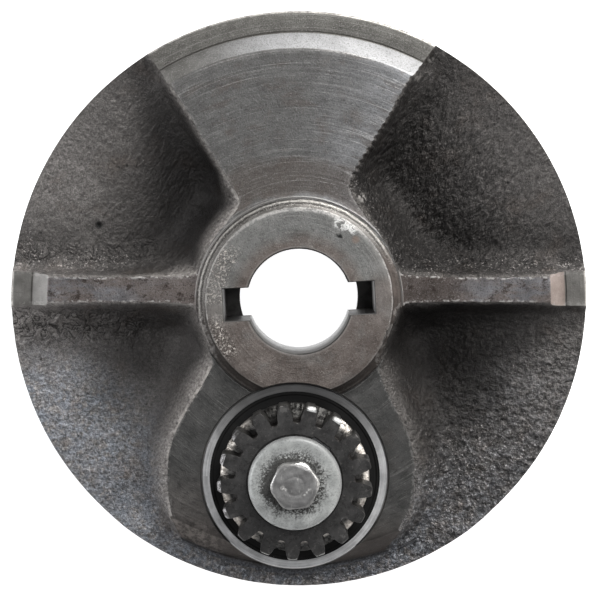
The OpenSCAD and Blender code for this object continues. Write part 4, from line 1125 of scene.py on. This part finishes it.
# ------------------------------------------------------------------ pinion
def tooth_profile():
    """Half tooth pitch to half tooth pitch about one tooth: angle (rad), radius (mm)."""
    n, m, xs = 17, 3.0, 0.3
    al = math.radians(20)
    rp = m * n / 2
    rb, ra, rf = rp * math.cos(al), rp + m * (1 + xs), rp - m * (1.25 - xs)
    inv = lambda q: math.tan(q) - q
    hb = math.pi / 2 / n + 2 * xs * math.tan(al) / n + inv(al)
    half = lambda q: hb if q <= rb else hb - 0.66 * inv(math.acos(rb / q))
    gap = math.pi / n
    right = [(-gap, rf), (-gap + 0.012, rf), (-gap + 0.024, rf + 0.02), (-gap + 0.036, rf + 0.1), (-hb - 0.012, rf + 0.32), (-hb - 0.004, rf + 0.75)]
    for q in np.linspace(rb + 0.05, ra - 0.55, 10):
        right.append((-half(q), q))
    right.append((-half(ra) * 0.97, ra - 0.2))
    right.append((-half(ra) * 0.86, ra - 0.04))
    right.append((-half(ra) * 0.5, ra))
    out = right + [(0.0, ra)] + [(-t, q) for t, q in right[::-1]]
    return out[:-1], gap, rf, ra


def build_gear():
    prof, gap, rf, ra = tooth_profile()
    turn = math.radians(-91.8)
    th, rt, tooth = [], [], []
    for i in range(17):
        for t, q in prof:
            th.append(turn + i * 2 * gap + t)
            rt.append(q)
            tooth.append(i)
    th, rt = np.array(th), np.array(rt)
    M = len(th)
    inset = [(GEAR_TOP, 0.30), (GEAR_TOP - 0.22, 0.06), (GEAR_TOP - 0.5, 0.0)]
    zs = [GEAR_TOP, GEAR_TOP - 0.22, GEAR_TOP - 0.5, GEAR_TOP - 1.3, 58.0, 56.4, 54.8, 53.2, 51.8] + list(np.arange(51.0, 44.5, -0.42)) + [44.35, 44.0, 43.3, 42.8, 42.4, GEAR_BACK]
    rings, runs, edges = [], [], []
    R_END = 28.6
    rng = np.random.default_rng(3)
    gapk = rng.uniform(0.85, 1.15, 18)
    for z in zs:
        ins = np.interp(-z, [-GEAR_TOP, -GEAR_TOP + 0.22, -GEAR_TOP + 0.5], [0.30, 0.06, 0.0])
        r = rt - ins
        # broken front corner of each tooth tip
        dg = (np.degrees(th) + 360) % 360
        worn = 0.35 + 1.0 * np.exp(-(((dg - 77.6) / 5.0) ** 2)) + 1.0 * np.exp(-(((dg - 56.5) / 5.0) ** 2)) + 1.15 * sstep(dg, 128, 140) * sstep(dg, 226, 210)
        r = np.minimum(r, ra - worn + (GEAR_TOP - z) * 0.8)
        run = np.zeros(M)
        if z < 51.0:
            P = np.c_[r * np.cos(th), r * np.sin(th), np.full(M, z)]
            wav = 0.9 * fbm(P, 3.2, 61, 3)
            q = np.clip((51.0 - z + wav * 0.8) / 6.6, 0, 1)
            fl = rf + (R_END - rf) * q**1.45
            fl = np.minimum(fl + 0.35 * fbm(P, 1.7, 64, 2) * sstep(q, 0.05, 0.5), R_END)
            if z <= 44.2:
                fl = np.full(M, R_END)
            cap = R_END if z <= 44.4 else ra
            run = sstep(fl - r, -0.5, 0.4) * sstep(q, 0.15, 0.6)
            r = np.maximum(r, fl)
        if z <= 44.4:
            # the closed end is smaller than the tips, and its last rings step in by 0.25 mm
            k = 1.0 if z <= 44.0 else 0.5
            r = r * (1 - k) + np.minimum(r, R_END) * k
            r = r - (0.25 if z < 42.6 else 0.0)
            run = np.ones(M) * 0.6
        # chips in the tooth edges
        P = np.c_[r * np.cos(th), r * np.sin(th), np.full(M, z)]
        chip = np.maximum(fbm(P, 2.6, 71, 3) - 0.22, 0) * sstep(r, 25.5, 28.0) * sstep(z, 57.5, 52.0)
        r = r - 1.5 * chip
        rings.append(np.c_[PX + r * np.cos(th), PY + r * np.sin(th), np.full(M, z)])
        runs.append(run)
        e = np.exp(-((z - (GEAR_TOP - 0.2)) / 0.28) ** 2) * 0.9 + 0.8 * sstep(r, ra - 1.2, ra - 0.2) * sstep(z, GEAR_TOP - 2.2, GEAR_TOP - 0.4)
        edges.append(np.full(M, 1.0) * np.clip(e, 0, 1))
    # front face, washer seat and bore, then the back
    def circle(r, z):
        return np.c_[PX + r * np.cos(th), PY + r * np.sin(th), np.full(M, z)]
    inner = [(21.4, GEAR_TOP), (19.8, GEAR_TOP), (18.25, GEAR_TOP), (18.1, GEAR_TOP - 0.12), (18.1, WASH_Z0), (16.4, WASH_Z0), (15.05, WASH_Z0), (15.05, RACE_Z1 + 9), (15.05, RACE_Z1)]
    outer = [(24.0, GEAR_BACK), (19.4, GEAR_BACK), (19.4, RACE_Z1 + 0.2), (19.2, RACE_Z1)]
    front = [circle(r, z) for r, z in inner[::-1]]
    back = [circle(r, z) for r, z in outer]
    allr = front + rings + back
    nr = len(allr)
    verts = np.vstack(allr)
    faces = []
    for j in range(nr):
        jn = (j + 1) % nr
        a = np.arange(M)
        b = (a + 1) % M
        for p, q in zip(a, b):
            faces.append((j * M + p, jn * M + p, jn * M + q, j * M + q))
    ob = new_object("pinion", verts, faces)
    me = ob.data
    bm = bmesh.new()
    bm.from_mesh(me)
    bmesh.ops.recalc_face_normals(bm, faces=bm.faces)
    bm.to_mesh(me)
    bm.free()
    run = np.concatenate([np.zeros(M)] * len(front) + runs + [np.zeros(M)] * len(back))
    edg = np.concatenate([np.zeros(M)] * (len(front) - 1) + [np.zeros(M)] + edges + [np.zeros(M)] * len(back))
    set_attr(ob, "run", run)
    P = get_mm(ob)
    A = np.degrees(np.arctan2(P[:, 1] - PY, P[:, 0] - PX))
    rr = np.hypot(P[:, 0] - PX, P[:, 1] - PY)
    # where the run-outs get a painted highlight: the lit right, left and lower sides
    right = sstep(A, -58, -40) * sstep(A, 62, 48)
    left = np.maximum(sstep(A, 122, 140), sstep(A, -118, -132))
    low = 0.8 * sstep(A, -135, -120) * sstep(A, -45, -62) * sstep(rr, 25.6, 24.2)
    pale_highlight = run * np.maximum(np.maximum(right, 0.9 * left) * sstep(rr, 25.2, 27.6), low) * sstep(P[:, 2], 42.6, 43.6)
    set_attr(ob, "pale_highlight", np.clip(pale_highlight, 0, 1))
    set_attr(ob, "edge", edg)
    GEAR = mat_gear()
    set_slot(ob, GEAR)
    # keyway, right through
    t = math.radians(55)
    u, v = np.array([math.cos(t), math.sin(t)]), np.array([-math.sin(t), math.cos(t)])
    vs = []
    for z in (RACE_Z1 - 2, GEAR_TOP + 2):
        for a, b in ((3.0, -4.0), (18.55, -4.0), (18.55, 4.0), (3.0, 4.0)):
            p = np.array([PX, PY]) + u * a + v * b
            vs.append((p[0], p[1], z))
    c = new_object("key_cut", vs, [(3, 2, 1, 0), (4, 5, 6, 7), (0, 1, 5, 4), (1, 2, 6, 5), (2, 3, 7, 6), (3, 0, 4, 7)], smooth=False)
    set_slot(c, GEAR)
    boolean(ob, c)
    finish_mesh(ob, 38)
    return ob


WASH_Z0 = wash_lo[2]
pin = build_gear()
pin.name = "pinion"
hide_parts("pinion_gear")
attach(pin, "pinion_shaft_set")


# --------------------------------------------------------- washer and bolt
def build_washer():
    w0, w1 = wash_lo[2], wash_hi[2]
    R = (wash_hi[0] - wash_lo[0]) / 2
    prof = [(R - 1.0, w0), (R - 0.2, w0 + 0.6), (R, w0 + 1.4), (R, w1 - 2.4), (R - 0.08, w1 - 1.7), (R - 0.3, w1 - 1.1), (R - 0.65, w1 - 0.6),
            (R - 1.15, w1 - 0.24), (R - 1.8, w1 - 0.06), (R - 2.6, w1), (13.4, w1 - 0.02), (12.0, w1 - 0.05), (10.4, w1 - 0.08), (9.4, w1 - 0.08), (7.0, w1 - 0.06), (5.4, w1 - 0.06), (5.4, w0)]
    ob = revolve("clamp_disc", prof, 192, PX, PY, closed_axis=False)
    P = get_mm(ob)
    n = 0.05 * fbm(P, 3.5, 81, 3) * (P[:, 2] > w1 - 1.5)
    P[:, 2] += np.minimum(n, 0.0)
    ob.data.vertices.foreach_set("co", (P * MM).ravel())
    set_slot(ob, mat_washer())
    finish_mesh(ob, 40)
    return ob


def build_bolt():
    b1 = bolt_hi[2]
    seat = wash_hi[2]
    head0 = seat - 0.06
    M = 216
    th = np.arange(M) * 2 * math.pi / M
    turn = math.radians(36)
    af = 8.5
    f = (th - turn + math.pi / 6) % (math.pi / 3) - math.pi / 6
    # flats at turn + 30 + k 60 degrees, corners rounded by wear
    hexr = af / np.cos(f)
    hexr = hexr - 0.55 * sstep(hexr, 9.0, 9.85)
    P0 = np.c_[hexr * np.cos(th), hexr * np.sin(th), 0 * th]
    hexr = hexr - 0.12 * np.abs(fbm(P0, 3.0, 91, 2))
    crown = 8.0
    rings = []
    def top(r):
        return b1 - 0.62 * np.maximum(r - crown, 0) - 0.10 * np.maximum(r - 7.3, 0) ** 1.0
    for k in (0.0, 0.12, 0.25, 0.36, 0.40, 0.44, 0.48, 0.6, 0.72, 0.84, 0.9, 0.94, 0.97, 1.0):
        r = hexr * k
        r = np.minimum(r, hexr) if k > 0.9 else np.full(M, 8.3 * k)
        z = top(r)
        z = z - 0.10 * np.exp(-((r - 3.5) / 0.28) ** 2)
        P = np.c_[r * np.cos(th), r * np.sin(th), z]
        z = z + np.minimum(0.10 * fbm(P, 2.4, 95, 3) - 0.04, 0.0) * sstep(8.4 - r, 0.0, 1.5)
        rings.append((r, z))
    zc = rings[-1][1]
    rings.append((hexr + 0.06, zc - 0.35))
    rings.append((hexr + 0.08, np.full(M, seat + 0.9)))
    rings.append((hexr * 0.99, np.full(M, seat + 0.25)))
    rings.append((np.full(M, 8.1), np.full(M, head0)))
    rings.append((np.full(M, 5.1), np.full(M, head0)))
    thread = bolt_lo[2]
    rings.append((np.full(M, 4.2), np.full(M, head0 - 0.6)))
    rings.append((np.full(M, 4.2), np.full(M, thread + 1.0)))
    rings.append((np.full(M, 3.4), np.full(M, thread)))
    verts, faces = [(PX, PY, b1 - 0.05)], []
    for r, z in rings[1:]:
        verts += [(PX + a * c, PY + a * s, q) for a, q, c, s in zip(r, z, np.cos(th), np.sin(th))]
    for k in range(M):
        faces.append((0, 1 + k, 1 + (k + 1) % M))
    nr = len(rings) - 1
    for j in range(nr - 1):
        for k in range(M):
            k2 = (k + 1) % M
            faces.append((1 + j * M + k, 1 + (j + 1) * M + k, 1 + (j + 1) * M + k2, 1 + j * M + k2))
    verts.append((PX, PY, thread))
    last = 1 + (nr - 1) * M
    for k in range(M):
        faces.append((last + k, len(verts) - 1, last + (k + 1) % M))
    ob = new_object("clamp_screw", verts, faces)
    P = get_mm(ob)
    r = np.hypot(P[:, 0] - PX, P[:, 1] - PY)
    e = np.exp(-((r - 8.35) / 0.45) ** 2) * (P[:, 2] > b1 - 1.6) + 0.8 * (r > 8.6) * (P[:, 2] > b1 - 2.2)
    set_attr(ob, "edge", np.clip(e, 0, 1))
    set_slot(ob, mat_bolt())
    finish_mesh(ob, 42)
    return ob


wash = build_washer()
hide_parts("retaining_washer")
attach(wash, "pinion_shaft_set")
screw = build_bolt()
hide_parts("clamp_bolt")
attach(screw, "pinion_shaft_set")

# ------------------------------------------------- finishes of the CAD nodes
RACE = mat_steel("race_steel", (0.56, 0.56, 0.564), (0.8, 0.8, 0.805), rough=(0.38, 0.52), mark=mark_race, rings=0.05, ringmm=0.5, bump=0.02)
INNER = mat_steel("race_steel_inner", (0.2, 0.2, 0.2), (0.34, 0.34, 0.34), rough=(0.26, 0.4), rings=0.04, ringmm=0.5, bump=0.02, grime=0.4)
BALL = mat_steel("ball_steel", (0.5, 0.5, 0.51), (0.66, 0.66, 0.67), rough=(0.08, 0.16), metallic=1.0, bump=0.004)
CAGE = mat_steel("cage_steel", (0.3, 0.28, 0.25), (0.44, 0.42, 0.37), rough=(0.3, 0.46), bump=0.04, grime=0.35)
RIVET = mat_steel("rivet_steel", (0.36, 0.34, 0.3), (0.52, 0.5, 0.45), rough=(0.28, 0.42), bump=0.03, grime=0.25)
TURNEDS = mat_steel("turned_steel", (0.2, 0.2, 0.205), (0.34, 0.34, 0.345), rough=(0.3, 0.45), rings=0.06, ringmm=0.8, bump=0.03, grime=0.45)
SPRING = mat_steel("spring_steel", (0.05, 0.05, 0.053), (0.1, 0.1, 0.105), rough=(0.36, 0.5), metallic=0.6, bump=0.03, grime=0.3)
KEY = mat_steel("key_steel", (0.2, 0.2, 0.21), (0.34, 0.34, 0.35), rough=(0.3, 0.46), rings=0.0, bump=0.04, grime=0.4)
RUBBER = mat_rubber()
for node, mat in {
    "front_outer_race": RACE, "rear_outer_race": RACE, "front_inner_race": INNER, "rear_inner_race": INNER,
    "front_balls": BALL, "rear_balls": BALL, "front_cage_upper": CAGE, "front_cage_lower": CAGE,
    "rear_cage_upper": CAGE, "rear_cage_lower": CAGE, "front_cage_rivets": RIVET, "rear_cage_rivets": RIVET,
    "front_seal_outer": RUBBER, "front_seal_inner": RUBBER, "rear_seal_inner": RUBBER, "rear_seal_outer": RUBBER,
    "race_spacer": TURNEDS, "pinion_shaft": TURNEDS, "retaining_ring": SPRING, "pinion_key": KEY,
}.items():
    set_slot(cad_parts[node], mat)


# ------------------------------------------------------------ camera, light
# 0.9 m above the bearing face, a little towards the wide sector, and looking almost straight down
TILT_X, TILT_Y, F_PX = math.radians(2.94), math.radians(0.198), 2353.5
cam_data = bpy.data.cameras.new("cam")
cam = bpy.data.objects.new("cam", cam_data)
scene.collection.objects.link(cam)
cam_data.sensor_width, cam_data.lens = 36.0, F_PX * 36 / 600
cam_data.clip_start, cam_data.clip_end = 0.01, 50
cam.location = (-0.00275, 0.04656, 0.9415)
cam.rotation_mode = "QUATERNION"
aim = Vector((math.sin(TILT_Y), -math.sin(TILT_X), -math.cos(TILT_X) * math.cos(TILT_Y)))
side = aim.cross(Vector((0, 1, 0))).normalized()
cam.rotation_quaternion = Matrix((side, side.cross(aim), -aim)).transposed().to_quaternion()
scene.camera = cam

world = bpy.data.worlds.new("studio")
world.use_nodes = True
world.node_tree.nodes["Background"].inputs[0].default_value = (0.97, 0.98, 1.0, 1)
world.node_tree.nodes["Background"].inputs[1].default_value = 0.24
scene.world = world


def area(name, az, el, dist, size, power, color=(1, 1, 1), size_y=None):
    """Soft box at an azimuth and elevation in degrees, aimed at the part."""
    L = bpy.data.lights.new(name, "AREA")
    L.shape = "RECTANGLE"
    L.size, L.size_y = size, size_y or size
    L.energy, L.color = power, color
    o = bpy.data.objects.new(name, L)
    scene.collection.objects.link(o)
    a, e = math.radians(az), math.radians(el)
    o.location = Vector((math.cos(a) * math.cos(e), math.sin(a) * math.cos(e), math.sin(e))) * dist
    o.rotation_mode = "QUATERNION"
    o.rotation_quaternion = (Vector((0, 0, 0.03)) - o.location).to_track_quat("-Z", "Y")
    return o


area("key", 66, 24, 1.3, 0.6, 20, (1, 0.995, 0.98), 0.4)
area("left", 172, 24, 1.2, 0.5, 5, (0.97, 0.98, 1.0), 0.4)
area("right", 12, 24, 1.2, 0.5, 4, (1, 0.98, 0.95), 0.4)
area("top", 60, 68, 1.4, 0.5, 3, (1, 1, 1), 0.4)

floor = new_object("floor", [(-6000, -6000, -0.05), (6000, -6000, -0.05), (6000, 6000, -0.05), (-6000, 6000, -0.05)], [(0, 1, 2, 3)])
gf = G("floor_paper")
gf.put(gf.bsdf.inputs["Emission Color"], (1.0, 1.0, 1.0))
gf.bsdf.inputs["Emission Strength"].default_value = 0.95
gf.done(gf.mix(gf.noise(220, 3, 0.5), (0.8, 0.8, 0.8), (0.84, 0.84, 0.84)), 0.8)
floor.data.materials.append(gf.mat)

scene.view_settings.view_transform = "Standard"
scene.view_settings.look = "None"
